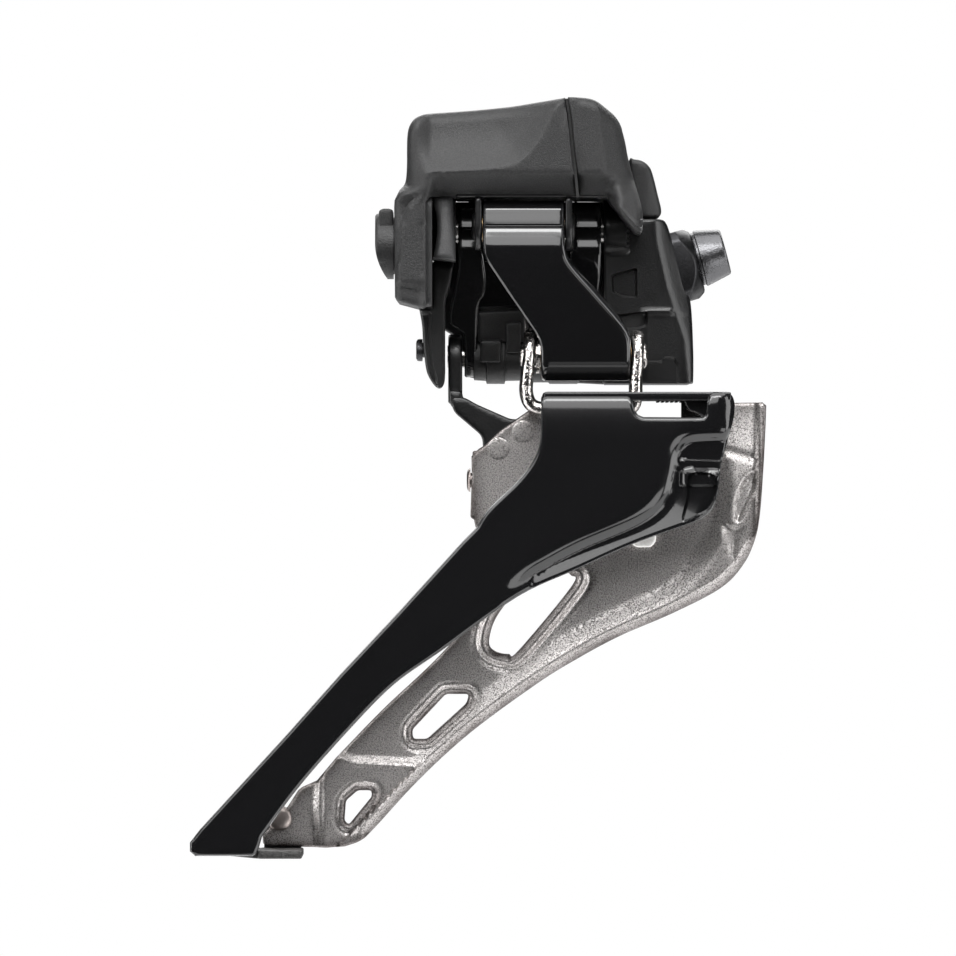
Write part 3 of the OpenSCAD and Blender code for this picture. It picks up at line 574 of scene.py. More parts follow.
class Finish:
    """One material with a Principled shader, and short ways to feed it."""

    def __init__(self, name, **sockets):
        self.material = bpy.data.materials.new(name)
        self.material.use_nodes = True
        self.tree = self.material.node_tree
        self.shader = self.tree.nodes["Principled BSDF"]
        for label, value in sockets.items():
            self.shader.inputs[label.replace("_", " ")].default_value = value
        finishes[name] = self.material

    def use(self, g, **values):
        node = self.tree.nodes.new("ShaderNodeGroup")
        node.node_tree = g
        for label, value in values.items():
            node.inputs[label].default_value = value
        return node

    def mix(self, mask, a, b):
        node = add(self.tree, "ShaderNodeMix", data_type="RGBA")
        for index, value in ((6, a), (7, b)):
            if isinstance(value, bpy.types.NodeSocket):
                self.tree.links.new(value, node.inputs[index])
            else:
                node.inputs[index].default_value = (*value, 1)
        self.tree.links.new(mask, node.inputs[0])
        return node.outputs[2]

    def ramp(self, value, low, high):
        node = add(self.tree, "ShaderNodeMapRange", [("Value", value), ("To Min", low), ("To Max", high)])
        return node.outputs[0]

    def feed(self, label, source):
        self.tree.links.new(source, self.shader.inputs[label])

    def bump(self, heights):
        """Chains bumps: heights are (socket, strength, distance in metres)."""
        last = None
        for height, strength, distance in heights:
            node = add(self.tree, "ShaderNodeBump", [("Height", height), ("Strength", strength),
                    ("Distance", distance)])
            if last is not None:
                self.tree.links.new(last, node.inputs["Normal"])
            last = node.outputs["Normal"]
        self.feed("Normal", last)


def plastic(name, dark, light, rough, grain_size, bump, contrast=2.0):
    """Moulded plastic: fine grain in colour and height, uneven roughness, and paler worn edges."""
    f = Finish(name, Specular_IOR_Level=0.5)
    grain = f.use(GRAIN, Size=grain_size, Fine=0.6, Contrast=contrast)
    edge = f.use(EDGE, Reach=0.55)
    cloud = f.use(CLOUD, Size=90.0)
    tone = f.mix(grain.outputs["Speck"], dark, light)
    worn = f.mix(edge.outputs[0], tone, [c * 1.5 for c in light])
    f.feed("Base Color", worn)
    f.feed("Roughness", f.ramp(cloud.outputs[0], rough - 0.07, rough + 0.07))
    f.bump([(grain.outputs["Height"], bump, 0.00006)])
    return f


def paint(name, dark, light, rough, coat, peel=0.05, grain_size=0):
    """Painted or anodised black: smudged roughness, faint orange peel, polished edges."""
    f = Finish(name, Specular_IOR_Level=0.5, Coat_Weight=coat, Coat_Roughness=0.05)
    cloud = f.use(CLOUD, Size=140.0)
    edge = f.use(EDGE, Reach=0.5)
    f.feed("Base Color", f.mix(edge.outputs[0], dark, light))
    f.feed("Roughness", f.ramp(cloud.outputs[0], rough * 0.75, rough * 1.25))
    waves = f.use(CLOUD, Size=900.0)
    bumps = [(waves.outputs[0], peel, 0.00005)]
    if grain_size:
        grain = f.use(GRAIN, Size=grain_size, Fine=0.5, Contrast=1.6)
        bumps.append((grain.outputs["Height"], 0.35, 0.00004))
    f.bump(bumps)
    return f


def metal(name, dark, light, rough, axis=None, lines=9000.0, mottle=0.0, grain_size=0, bump=0.3):
    """Bare or plated metal: turning lines or grain, uneven tone, brighter edges."""
    f = Finish(name, Metallic=1.0)
    cloud = f.use(CLOUD, Size=260.0)
    edge = f.use(EDGE, Reach=0.5)
    tone = f.mix(cloud.outputs[0], dark, light)
    f.feed("Base Color", f.mix(edge.outputs[0], tone, [min(1, c * 1.25) for c in light]))
    f.feed("Roughness", f.ramp(cloud.outputs[0], rough * 0.7, rough * 1.3))
    bumps = []
    if axis:
        lathe = f.use(LATHE, X=axis[0], Y=axis[1], Z=axis[2], Lines=lines)
        bumps.append((lathe.outputs[0], bump, 0.00003))
    if mottle:
        waves = f.use(CLOUD, Size=700.0)
        bumps.append((waves.outputs[0], mottle, 0.0004))
    if grain_size:
        grain = f.use(GRAIN, Size=grain_size, Fine=0.5, Contrast=1.5)
        bumps.append((grain.outputs["Height"], bump, 0.00006))
    if bumps:
        f.bump(bumps)
    return f


def blasted_silver():
    """Coarsely blasted and plated aluminium: crisp light and dark specks, and warm smooth edges whose
    darkness is painted shade.
    """
    f = Finish("blasted_silver", Metallic=1.0)
    grain = f.use(GRAIN, Size=5200.0, Fine=0.58, Contrast=5.0)
    edge = f.use(EDGE, Reach=0.22, Breakup=300.0, Spread=0.36)
    cloud = f.use(CLOUD, Size=60.0)
    tone = f.mix(cloud.outputs[0], (0.56, 0.535, 0.525), (0.74, 0.71, 0.695))
    specks = f.mix(grain.outputs["Height"], (0.13, 0.121, 0.118), tone)
    # The dark warm edge colour is painted shade along the smooth rims; only the warmth and the lack of
    # specks belong to the metal.
    f.feed("Base Color", f.mix(edge.outputs[0], specks, (0.060, 0.048, 0.045)))
    f.feed("Roughness", f.ramp(grain.outputs["Height"], 0.44, 0.30))
    f.bump([(grain.outputs["Height"], 0.22, 0.00008)])
    return f


plastic("housing_grain", (0.009, 0.009, 0.0092), (0.022, 0.022, 0.0225), 0.44, 5200.0, 0.5)
plastic("case_grain", (0.006, 0.006, 0.0062), (0.012, 0.012, 0.0124), 0.42, 5200.0, 0.4)
plastic("socket_black", (0.008, 0.008, 0.008), (0.014, 0.014, 0.014), 0.35, 4000.0, 0.2)
plastic("seal_rubber", (0.004, 0.004, 0.004), (0.008, 0.008, 0.008), 0.7, 3000.0, 0.3)
plastic("white_nylon", (0.74, 0.73, 0.70), (0.86, 0.85, 0.83), 0.4, 2500.0, 0.15)
plastic("acetal", (0.68, 0.64, 0.55), (0.78, 0.75, 0.66), 0.4, 2500.0, 0.15)
plastic("board_green", (0.01, 0.10, 0.045), (0.015, 0.14, 0.06), 0.35, 1500.0, 0.2)
plastic("chip_black", (0.01, 0.01, 0.01), (0.018, 0.018, 0.018), 0.5, 4000.0, 0.3)
plastic("tail_black", (0.010, 0.010, 0.010), (0.030, 0.029, 0.028), 0.38, 2600.0, 0.9, 3.0)
paint("plate_black", (0.0055, 0.0055, 0.006), (0.02, 0.02, 0.021), 0.16, 0.6, 0.03)
paint("link_black", (0.006, 0.006, 0.0065), (0.02, 0.02, 0.021), 0.13, 0.9, 0.03)
paint("bracket_black", (0.0045, 0.0045, 0.0048), (0.010, 0.010, 0.0105), 0.30, 0.15, 0.1, 4200.0)
paint("arm_black", (0.006, 0.006, 0.0062), (0.014, 0.014, 0.0145), 0.38, 0.05, 0.1, 5000.0)
plastic("boss_satin", (0.022, 0.022, 0.023), (0.038, 0.038, 0.039), 0.40, 5600.0, 0.35)
metal("nickel", (0.72, 0.67, 0.64), (0.90, 0.87, 0.85), 0.09, mottle=0.8)
metal("bolt_steel", (0.085, 0.085, 0.089), (0.17, 0.17, 0.176), 0.27,
      (math.cos(SEAT_TILT), 0, math.sin(SEAT_TILT)), 7000.0, grain_size=3000.0, bump=0.4)
metal("washer_steel", (0.018, 0.018, 0.019), (0.040, 0.040, 0.042), 0.32, grain_size=3500.0)
metal("screw_steel", (0.05, 0.05, 0.052), (0.09, 0.09, 0.094), 0.35, (0, 1, 0))
metal("pin_steel", (0.48, 0.47, 0.46), (0.62, 0.61, 0.60), 0.22, (1, 0, 0))
metal("rivet_steel", (0.30, 0.26, 0.245), (0.46, 0.41, 0.39), 0.36, grain_size=3800.0)
metal("can_steel", (0.42, 0.42, 0.42), (0.56, 0.56, 0.57), 0.28, (1, 0, 0), 3000.0)
metal("brass", (0.62, 0.43, 0.17), (0.78, 0.58, 0.27), 0.28, (1, 0, 0))
metal("bronze", (0.40, 0.25, 0.12), (0.52, 0.35, 0.18), 0.4, (1, 0, 0))
blasted_silver()


# ---------------------------------------------------------------- cage

def outer_plate_part():
    """Black outer cage plate. A raised field ends at an S-shaped shoulder; beyond it the face
    drops to a narrow valley and climbs again as a flat facet to the lower front edge."""
    top = [[-17.3, -17.9], [-17.0, -17.2], [-16.4, -17.02], [-5.6, -17.02], [-5.3, -17.4], [-4.8, -19.5],
           [-4.4, -20.1], [-3.7, -20.4], [4.2, -20.45], [4.65, -20.1], [4.85, -17.3], [5.2, -17.02]]
    lobe = soft([[6, -17], [7.7, -17.15], [8.45, -18.4], [8.3, -20.8], [7.4, -24], [6.65, -27], [6.2, -30.5],
            [5.6, -32.4], [4.4, -33.7], [2.5, -34.6], [-4.8, -37.2], [-12.4, -40.6], [-20.4, -44.3],
            [-30.7, -51.6], [-37, -56.1], [-42.9, -62.1], [-49.4, -69.5], [-54.4, -76.2]])
    tail = [[-54.8, -77.6], [-55.2, -78.5], [-55.7, -78.8], [-63.3, -78.8], [-64, -78.2], [-64, -77],
            [-62.6, -75.2], [-50.9, -62.4], [-43.8, -54.4], [-36.4, -46.5], [-27.7, -36.9]]
    neck = soft([[-25.8, -35], [-24.2, -32.6], [-20.4, -28.9], [-18.3, -26.1], [-17.4, -23.5],
            [-17.3, -20]])
    shoulder = soft([[9.5, -21.9], [7.1, -22.3], [2.2, -22.7], [0.1, -24.6], [-0.65, -27.9], [-1.7, -31.0],
            [-4.8, -33.6], [-12.4, -36.9], [-17.3, -39.5], [-21.5, -41.9]])
    facet = soft([[1.6, -24.0], [1.2, -28.8], [0.5, -31.7], [-1.4, -34.1], [-4.1, -35.7], [-8, -37.2],
            [-12.6, -38.9], [-17.8, -41.1], [-22, -43.2]])
    window = soft([[2.5, -28.1], [5.6, -28.15], [6.1, -30.2], [5.2, -32.4], [3.6, -33.4], [1.6, -34.1],
                   [2.2, -31]], True)
    steps = ([[1.6, -26.05], [6.4, -26.2]], [[0.8, -27.7], [6.0, -28.1]])

    def face(p):
        x, z = p[:, 0], p[:, 1]
        s = -side_of(p, shoulder)
        f = -side_of(p, facet)
        fade = step((x + 23.0) / 5.0)
        u = np.clip((s + 0.75) / 2.0, 0, 1)
        y = PLATE_Y + 0.25 + 2.9 * (1 - np.cos(0.9 * u)) * fade
        hood = step((-18.2 - x) / 0.3)
        y = y - 0.29 * np.clip(f, 0, 3.4) * step((s - 0.9) / 0.5) * step((-27.2 - z) / 0.4) * (1 - hood)
        for line in steps:
            below = side_of(p, line)
            y = y - 0.32 * step(below / 0.3 + 0.5) * step((x - 0.9) / 0.9) * step((s - 1.0)
                    / 0.6) * (z > -29.5)
        y = y + pocket(p, window, 0.9, 0.26)
        y = y + 0.11 * np.clip(z + 19.1, 0, None) ** 2 * step((7.5 - x) / 2)
        y = y + 0.012 * np.clip(z + 23.5, 0, None) ** 2 * step((4.0 - x) / 4)
        y = y + 0.9 * step((x - 6.1) / 2.6) * step((z + 23) / 3)
        return y

    def edge(p):
        upper = step((p[:, 1] + 18.4) / 0.8) * step((6.5 - p[:, 0]) / 1.5)
        return 0.40 + 0.35 * upper + 0.7 * step((p[:, 0] - 5.5) / 2) * step((p[:, 1] + 25) / 3)

    valley = moved_line(shoulder, 1.25)
    creases = [(window, True, 0.14), (facet, False, 0.12), (valley, False, 0.15),
            *[(line, False, 0.14) for line in steps]]
    plate = slab(ring(top, lobe, tail, neck), face, PLATE_Y + 2, (), 0.42, edge, 0.35,
                 creases)
    bridge_back = INNER_BACK + 1.2
    bridge = slab(fillet([[-16.9, -18.2], [8.0, -18.2], [8.0, -17.05], [-16.9, -17.05]], 0.3),
                  PLATE_Y + 0.9, bridge_back, (), 0.5, 0.2, 0.3)
    ribs = [slab(fillet([[a, -18.42], [a + 0.34, -18.42], [a + 0.34, -18.1], [a, -18.1]], 0.08),
            PLATE_Y + 2.1, bridge_back - 1.5, (), 0.5, 0.05, 0.05) for a in np.arange(-1.8, 4.2, 0.62)]
    gusset = slab(fillet([[1.7, -18.0], [5.2, -18.0], [5.2, -20.5], [4.5, -20.6], [3.6, -19.9],
            [2.4, -19.5]], 0.35), PLATE_Y + 2.3, INNER_BACK, (), 0.5, 0.2, 0.2)
    flanges = [slab(fillet([[a, -23.6], [b, -23.6], [b, -17.1], [a, -17.1]], [1.2, 1.2, 0.3, 0.3]),
            INNER_BACK + 0.05, bridge_back, (), 0.6, 0.1, 0.3) for a, b in ((-16.5, -6), (1.6, 8))]
    return join(plate, bridge, *ribs, gusset, *flanges)


def inner_plate_part():
    """Silver inner cage plate: a flat field, a long fold beyond which the edge zone stands
    proud, a lens-shaped dimple, rolled rims round the windows, a raised tail and a rear flange."""
    top = [[-26.55, -25.6], [-25.6, -24.6], [-24.9, -24.2], [-22.7, -22.1], [-17.2, -18.3], [-14, -18.4],
            [-9, -20.6], [-4.2, -20.9], [4.4, -20.95], [5.4, -20.4], [5.9, -18.45], [12.5, -18.35],
            [13.0, -18.8]]
    edge_line = soft([[12.9, -21.5], [12.6, -27], [12.1, -33.5], [11.4, -37], [9.9, -40.2], [6.9, -43.3],
            [0.6, -46.6], [-6.8, -49.8], [-12.9, -53.1], [-18, -56.3], [-26.7, -62.7], [-33.7, -69.1],
            [-39.5, -75.4], [-41.4, -77.1], [-43.5, -77.9]])
    tail = [[-46, -78.1], [-54.2, -77.9], [-54.55, -77.5], [-54.6, -76.3], [-51.6, -73.2], [-49.8, -70.4],
            [-49.3, -70.0], [-47.3, -69.1]]
    neck = soft([[-44.7, -66], [-38.4, -59.5], [-31.6, -53.1], [-26.4, -47.3], [-24.2, -43.5],
            [-24.2, -39.5], [-25.9, -35.5], [-26.45, -32]])
    tear = soft([[-23.4, -51.7], [-24.2, -50.4], [-23.1, -47], [-20, -43.6], [-14.7, -41.3], [-13.2, -41.6],
                 [-13.1, -43], [-20.2, -51.6], [-21.6, -52.1]], True)
    slot = fillet([[-34.5, -62.3], [-30, -57.5], [-26.9, -57.5], [-27.2, -58.7], [-32.5, -63.5],
            [-34.4, -63.5]], 0.45)
    trap = fillet([[-43.4, -71.8], [-41.8, -70.4], [-40, -70.4], [-39.9, -71.2], [-43, -75], [-43.6, -74.5]],
            0.4)
    lens = soft([[11.55, -27.7], [10.4, -28.5], [9.3, -30.2], [8.8, -32.2], [8.95, -34.3], [9.8, -33.4],
                 [10.9, -31.0], [11.5, -29]], True)
    fold = soft([[7.2, -27.0], [7.4, -33.0], [6.2, -36.6], [3.8, -40.3], [0.2, -43.9], [-6.6, -47.2],
            [-13.4, -50.6], [-19.4, -54.6], [-27.4, -60.9], [-33.0, -66.4]])
    tooth = [[7.4, -34.9], [9.6, -35.3], [8.4, -39.6]]
    notch = [[7.0, -24.7], [11.5, -25.95]]
    crest = [[-50, -63.4], [-43.5, -66.2], [-42.4, -66.6], [-32.0, -67.1], [-20.0, -67.6]]
    tail_fold = [[-47.0, -69.2], [-47.3, -73], [-46.9, -78.2]]
    outer_edge = np.array([q for q in edge_line if q[1] > -76])

    def face(p):
        x, z = p[:, 0], p[:, 1]
        out = -side_of(p, fold)
        y = INNER_Y - 0.92 * step((out + 1.9) / 3.8) * step((-19.5 - z) / 12) + 0.35
        y = y + 0.05 * np.clip(out - 1.0, 0, None) * step((x + 5) / 8)
        d = gap_to(p, outer_edge, False)
        y = y + 1.5 * np.clip(1 - d / 1.3, 0, 1) ** 1.1 * step((-36 - z) / 4)
        y = y - 0.75 * step((x - 11.2) / 1.1) * step((z + 41) / 5)
        y = y + 0.2 * np.exp(-(gap_to(p, notch, False) / 0.45) ** 2)
        y = y + pocket(p, lens, 0.65, 0.7)
        y = y + pocket(p, tooth, 0.45, 1.3)
        for line, lip, width in ((tear, 0.6, 1.4), (slot, 0.38, 1.0), (trap, 0.3, 0.9)):
            d = gap_to(p, line)
            y = y - lip * np.exp(-((d - width * 0.66) / (width * 0.36)) ** 2)
            y = y + lip * 0.45 * np.exp(-((d - width * 1.35) / (width * 0.25)) ** 2)
        below = side_of(p, crest)
        west = step((-31.5 - x) / 2.5)
        y = y - 0.6 * step(below / 0.9 + 0.5) * west * step((x + 46.8) / 0.6)
        y = y - 0.4 * np.exp(-((below + 0.1) / 0.45) ** 2) * west * step((x + 45.5) / 1.5)
        y = y + 0.6 * step((-47.1 - x) / 0.5 + 0.5)
        return y - 0.45 * np.exp(-(gap_to(p, tail_fold, False) / 0.5) ** 2)

    def back(p):
        return (face(p) - INNER_Y) * 0.4 + INNER_Y + INNER_T

    creases = [(lens, True, 0.2), (notch, False, 0.3), (tooth, True, 0.15),
            ([[11.2, -18], [11.2, -40]], False, 0.2)]
    plate = slab(ring(top, edge_line, tail, neck), face, back, (tear, slot, trap), 0.33, 0.34, 0.35,
            creases)
    flange = slab(fillet([[-26.7, -33.8], [-25.6, -34.5], [-25.5, -24.8], [-26.4, -24.9]], 0.25),
                  INNER_Y + 0.4, INNER_BACK + 4.6, (), 0.6, 0.25, 0.3)
    return join(plate, flange)


YOKE_BOSS = 3.4


def yoke_part():
    """Bright bent strip. Its middle line hangs from the front pin boss as a J, runs under the
    link and rises to the other boss; its width follows the bosses and its section is rounded."""
    top = OUTER_LOW[1] + YOKE_BOSS - 0.05
    path = soft([[-18.72, top], [-18.72, -10.6], [-18.86, -12.8], [-19.15, -15.2], [-19.22, -17.0],
            [-18.75, -18.45], [-17.6, -19.15], [-15.4, -19.3], [-11.0, -19.3], [-7.0, -19.3], [-5.25, -19.1],
            [-4.62, -18.0], [-4.55, -15.8], [-4.36, -13.4], [-4.32, -11.2], [-4.38, top]], n=6)
    tangent = np.gradient(path, axis=0)
    tangent /= np.linalg.norm(tangent, axis=1)[:, None]
    normal = np.stack([-tangent[:, 1], tangent[:, 0]], 1)
    high = np.clip(path[:, 1] - OUTER_LOW[1], 0, YOKE_BOSS - 0.06)
    half = np.where(path[:, 1] > OUTER_LOW[1], np.sqrt(YOKE_BOSS ** 2 - high ** 2), YOKE_BOSS)
    low = step((-17.6 - path[:, 1]) / 1.2)
    half = half * (1 - low) + 2.4 * low
    a = np.linspace(0, 2 * np.pi, 32, endpoint=False)
    across = np.sign(np.cos(a)) * np.abs(np.cos(a)) ** 0.5
    thick = np.sign(np.sin(a)) * np.abs(np.sin(a)) ** 0.85
    y = OUTER_LOW[0] - 0.9 * low[:, None] + half[:, None] * across
    off = 0.92 * thick[None, :] * np.minimum(1, half / 1.2)[:, None]
    x = path[:, 0, None] + normal[:, 0, None] * off
    z = path[:, 1, None] + normal[:, 1, None] * off
    verts = np.stack([x, y, z], 2).reshape(-1, 3)
    n = len(a)
    faces = bands(len(path), n).tolist()
    faces += [list(range(n))[::-1], [(len(path) - 1) * n + i for i in range(n)]]
    return verts, [tuple(f) for f in faces], np.zeros(len(verts))


def rear_ear_part():
    """Black arm from the lower inner pin to the inner plate: an upright ear, a knuckle and a
    web that fans out on to the plate."""
    x0, x1 = -29.7, -27.8
    a = np.linspace(0, np.pi, 15)
    head = np.stack([3.0 * np.cos(a), 3.0 * np.sin(a)], 1) + [INNER_LOW[0], INNER_LOW[1]]
    ear = slab(ring(head, [[INNER_LOW[0] - 3, -17.2], [INNER_LOW[0] - 2.4, -18.5],
            [INNER_LOW[0] + 2.4, -18.5], [INNER_LOW[0] + 3, -17.8]]), x0, x1, (), 0.6, 0.35, 0.35)
    ear = moved(flipped(ear), across_x)
    knuckle = slab(fillet([[-29.7, -16.6], [-27.8, -16.8], [-27.7, -17.8], [-26.4, -18.5], [-27.4, -20.0],
            [-28.6, -19.4], [-29.5, -18.6]], 0.7), INNER_BACK + 0.1, INNER_LOW[0] + 2.6, (), 0.5, 0.45, 0.4)
    web = slab(fillet([[-29.4, -17.6], [-27.6, -17.6], [-26.0, -18.55], [-21.1, -20.7], [-17.4, -20.1],
            [-17.1, -22.5], [-19, -24.8], [-22, -26.8], [-24.9, -26.4], [-25.1, -22.9], [-29.0, -19.6]],
            0.8), INNER_BACK + 0.05, INNER_BACK + 1.8, (), 0.5, 0.35, 0.3)
    return join(ear, knuckle, web)


def tail_spacer_part():
    """Textured block between the plates' tails, with a foot under the inner plate."""
    block = fillet([[-62.4, -78.5], [-55, -79.2], [-49.2, -79.2], [-49.1, -78.2], [-55.2, -78.1],
            [-55.6, -74.6], [-58, -72.7], [-62.2, -77]], 0.35)
    body = slab(block, PLATE_Y + 2.05, INNER_Y - 0.05, (), 0.5, 0.15, 0.15)
    foot = slab(fillet([[-55, -79.2], [-49.1, -79.2], [-49.1, -78.15], [-55, -78.15]], 0.3),
                PLATE_Y + 1.2, INNER_BACK + 1.2, (), 0.5, 0.25, 0.25)
    tab = slab(fillet([[-54.4, -79], [-49.4, -79], [-49.4, -73.6], [-51, -72.4], [-54.4, -75.6]], 0.5),
               INNER_BACK + 0.05, INNER_BACK + 1.2, (), 0.5, 0.1, 0.3)
    return join(body, foot, tab)


def dome(x0, x1, r, edge):
    """Low domed head from the flat at x0 to its crown at x1."""
    t = np.linspace(0, np.pi / 2, 8)
    sign = 1 if x1 > x0 else -1
    rows = [(x0, 0), (x0, r)] + [(x0 + sign * (abs(x1 - x0) * math.sin(a)),
            r * math.cos(a) ** edge) for a in t[1:-1]]
    return rows + [(x1, 0)]


def rivet_part(y0, y1, at, shank=1.0, head=1.6, tall=0.5):
    """Rivet along Y: a shank with a domed head on each face."""
    rod = turned(rounded(y0, y1, shank, 0.1))
    low = flipped(turned(dome(y0, y0 - tall, head, 0.55), 40))
    high = turned(dome(y1, y1 + tall, head, 0.55), 40)
    return moved(flipped(join(rod, low, high)), on_y(at))


def build_cage():
    piece("cage_outer_plate", outer_plate_part(), "cage", "plate_black", ["outer_plate"])
    piece("cage_inner_plate", inner_plate_part(), "cage", "blasted_silver", ["inner_plate"],
            60)
    piece("cage_yoke", yoke_part(), "cage", "nickel", ["pivot_yoke"], 60)
    piece("cage_rear_ear", rear_ear_part(), "cage", "bracket_black", ["rear_ear"])
    piece("cage_tail_spacer", tail_spacer_part(), "cage", "tail_black", ["tail_spacer"])
    pin = join(turned(rounded(-19.3, -3.6, 1.5, 0.2)), flipped(turned(dome(-19.25, -20.2, 1.75, 0.6), 48)),
               turned(dome(-3.6, -2.9, 1.75, 0.6), 48))
    piece("yoke_pin", moved(pin, on_x(OUTER_LOW)), "cage", "nickel", ["lower_outer_pin"])
    rivets = [rivet_part(INNER_Y, INNER_BACK + 1.2, p) for p in ((-11.4, -21.9), (5.6, -21.9))]
    rivets += [rivet_part(INNER_Y + 0.3, INNER_BACK + 1.8, p, 1.0, 1.5, 0.07) for p in ((-19.6, -22.3),
            (-22.9, -24.6))]
    piece("bridge_rivet_set", join(*rivets), "cage", "blasted_silver", ["bridge_rivets"])
    tail = [rivet_part(INNER_Y + 0.5, INNER_BACK + 1.3, (-52.3, -74.2), 1.0, 1.65, 0.6),
            moved(flipped(turned(rounded(PLATE_Y + 0.7, INNER_Y - 0.3, 1.0, 0.1))), on_y((-57.8, -75.9)))]
    piece("tail_rivet_set", join(*tail), "cage", "rivet_steel", ["tail_rivet"])
    side = join(turned(rounded(-26.8, -25.4, 1.0, 0.1)), flipped(turned(dome(-26.7, -27.2, 1.6, 0.55), 40)),
                turned(dome(-25.5, -24.9, 1.6, 0.55), 40))
    at = (INNER_BACK + 2.6, -28.8)
    piece("flange_side_rivet", moved(side, on_x(at)), "cage", "rivet_steel", ["flange_rivet"])
    pad = slab(fillet([[-5.3, -37.0], [-4.6, -37.8], [-2.5, -37.8], [-1.8, -37.0], [-1.8, -32.2],
            [-8.5, -32.2], [-8.5, -35]], 0.9), INNER_Y - 1.2, INNER_Y + 0.2, (), 0.4, 0.35, 0.1)
    piece("chain_slide_pad", pad, "cage", "white_nylon", ["chain_pad"])


# ---------------------------------------------------------------- links

def by_height(table):
    """x as a function of z through a smooth table of (x, z) points, top first."""
    p = soft(table, n=8)
    order = np.argsort(p[:, 1])
    return lambda z: np.interp(z, p[order, 1], p[order, 0])


def build_links():
    """Both links are straps swept along X; the outer one narrows and shifts to the front."""
    left = by_height([[-25.05, 4], [-25.05, 0], [-25.0, -2.0], [-24.5, -3.9], [-21.4, -8.9], [-18.5, -13.2],
            [-17.6, -14.7], [-17.3, -16.4], [-17.3, -22]])
    right = by_height([[-14.15, 4], [-14.15, -0.8], [-14.0, -2.6], [-13.2, -4.6], [-9.8, -8.7],
            [-6.6, -12.5], [-5.6, -14.0], [-5.25, -15.6], [-5.25, -22]])
    loop = capsule(3.5, 3.4, LINK, -3.45, 0.6, 18)
    link = moved(strap(loop, left, right, 0.55, 10), on_link(OUTER_UP))
    piece("swing_link_outer", link, "outer_link_body", "link_black", ["outer_link"])

    loop = capsule(3.5, 2.8, LINK, -3.3, 1.6, 18)
    left_leg = strap(loop, by_height([[-28.35, 4], [-28.35, -4.2], [-28.45, -5.6], [-28.9, -8.2],
            [-29.42, -10.3], [-29.45, -12.6], [-27.6, -14.2], [-27.5, -22]]),
            by_height([[-25.3, 4], [-25.3, -1], [-24.9, -3.2], [-24.6, -6], [-24.8, -8.5], [-25.6, -10.6],
            [-25.8, -22]]), 0.36)
    right_leg = strap(loop, by_height([[-13.0, 4], [-13.0, -1.5], [-13.4, -4.5], [-13.6, -22]]),
            by_height([[-9.15, 4], [-9.15, -3], [-9.5, -8], [-11.0, -12.4], [-12.0, -14.4], [-12.0, -22]]),
            0.36)
    sheet = slab(fillet([[-26.4, -4.4], [-12.6, -4.4], [-12.4, -LINK], [-26.4, -LINK]], 0.5), -1.1, 1.3, (),
            0.7, 0.3, 0.3)
    inner = moved(join(left_leg, right_leg, sheet), on_link(INNER_UP))
    piece("swing_link_inner", inner, "inner_link_body", "link_black", ["inner_link"])
    steps = [(-27.5, 0), (-27.5, 2.6), (-27.3, 2.8), (-26.3, 2.8), (-26.2, 3.2), (-24.6, 3.3), (-24.5, 3.7),
            (-22.1, 3.7), (-22.0, 3.3), (-19.6, 3.25), (-19.4, 3.5), (-16.2, 3.5), (-16.0, 3.7),
            (-12.3, 3.7), (-12.0, 3.4), (-12.0, 0)]
    barrel = moved(turned(steps), lambda x, y, z: (x, y, z - LINK))
    boxes = [slab(fillet(line, 0.35), front, -0.9, (), 0.5, 0.3, 0.1) for line, front in (
        ([[-25.7, -10.9], [-19.4, -10.6], [-19.4, -15.0], [-25.7, -15.0]], -3.2),
        ([[-25.4, -14.6], [-22.6, -14.6], [-22.6, -17.6], [-25.4, -17.6]], -4.15),
        ([[-21.9, -12.2], [-19.9, -12.2], [-19.9, -16.4], [-21.9, -16.4]], -3.85))]
    sleeve = moved(join(barrel, *boxes), on_link(INNER_UP))
    piece("inner_link_sleeve", sleeve, "inner_link_body", "case_grain", ())


# ---------------------------------------------------------------- motor unit

SPLIT = np.array([[-14.1, 22.1], [-13.7, 19.8], [-13.3, 15.8], [-12.9, 12.2], [-12.6, 9.0]])


def hollow(outline, y0, y1):
    """Inner wall of a closed hollow, faces towards the space inside."""
    return flipped(slab(fillet(outline, 0.8), y0, y1, (), 1.4, 0.5, 0.5))


def band_slope(z):
    """How far the band under the housing has sloped back at a height, from 0 at its top edge."""
    return 4.3 * np.clip((12.2 - z) / 3.2, 0, 1) ** 1.2


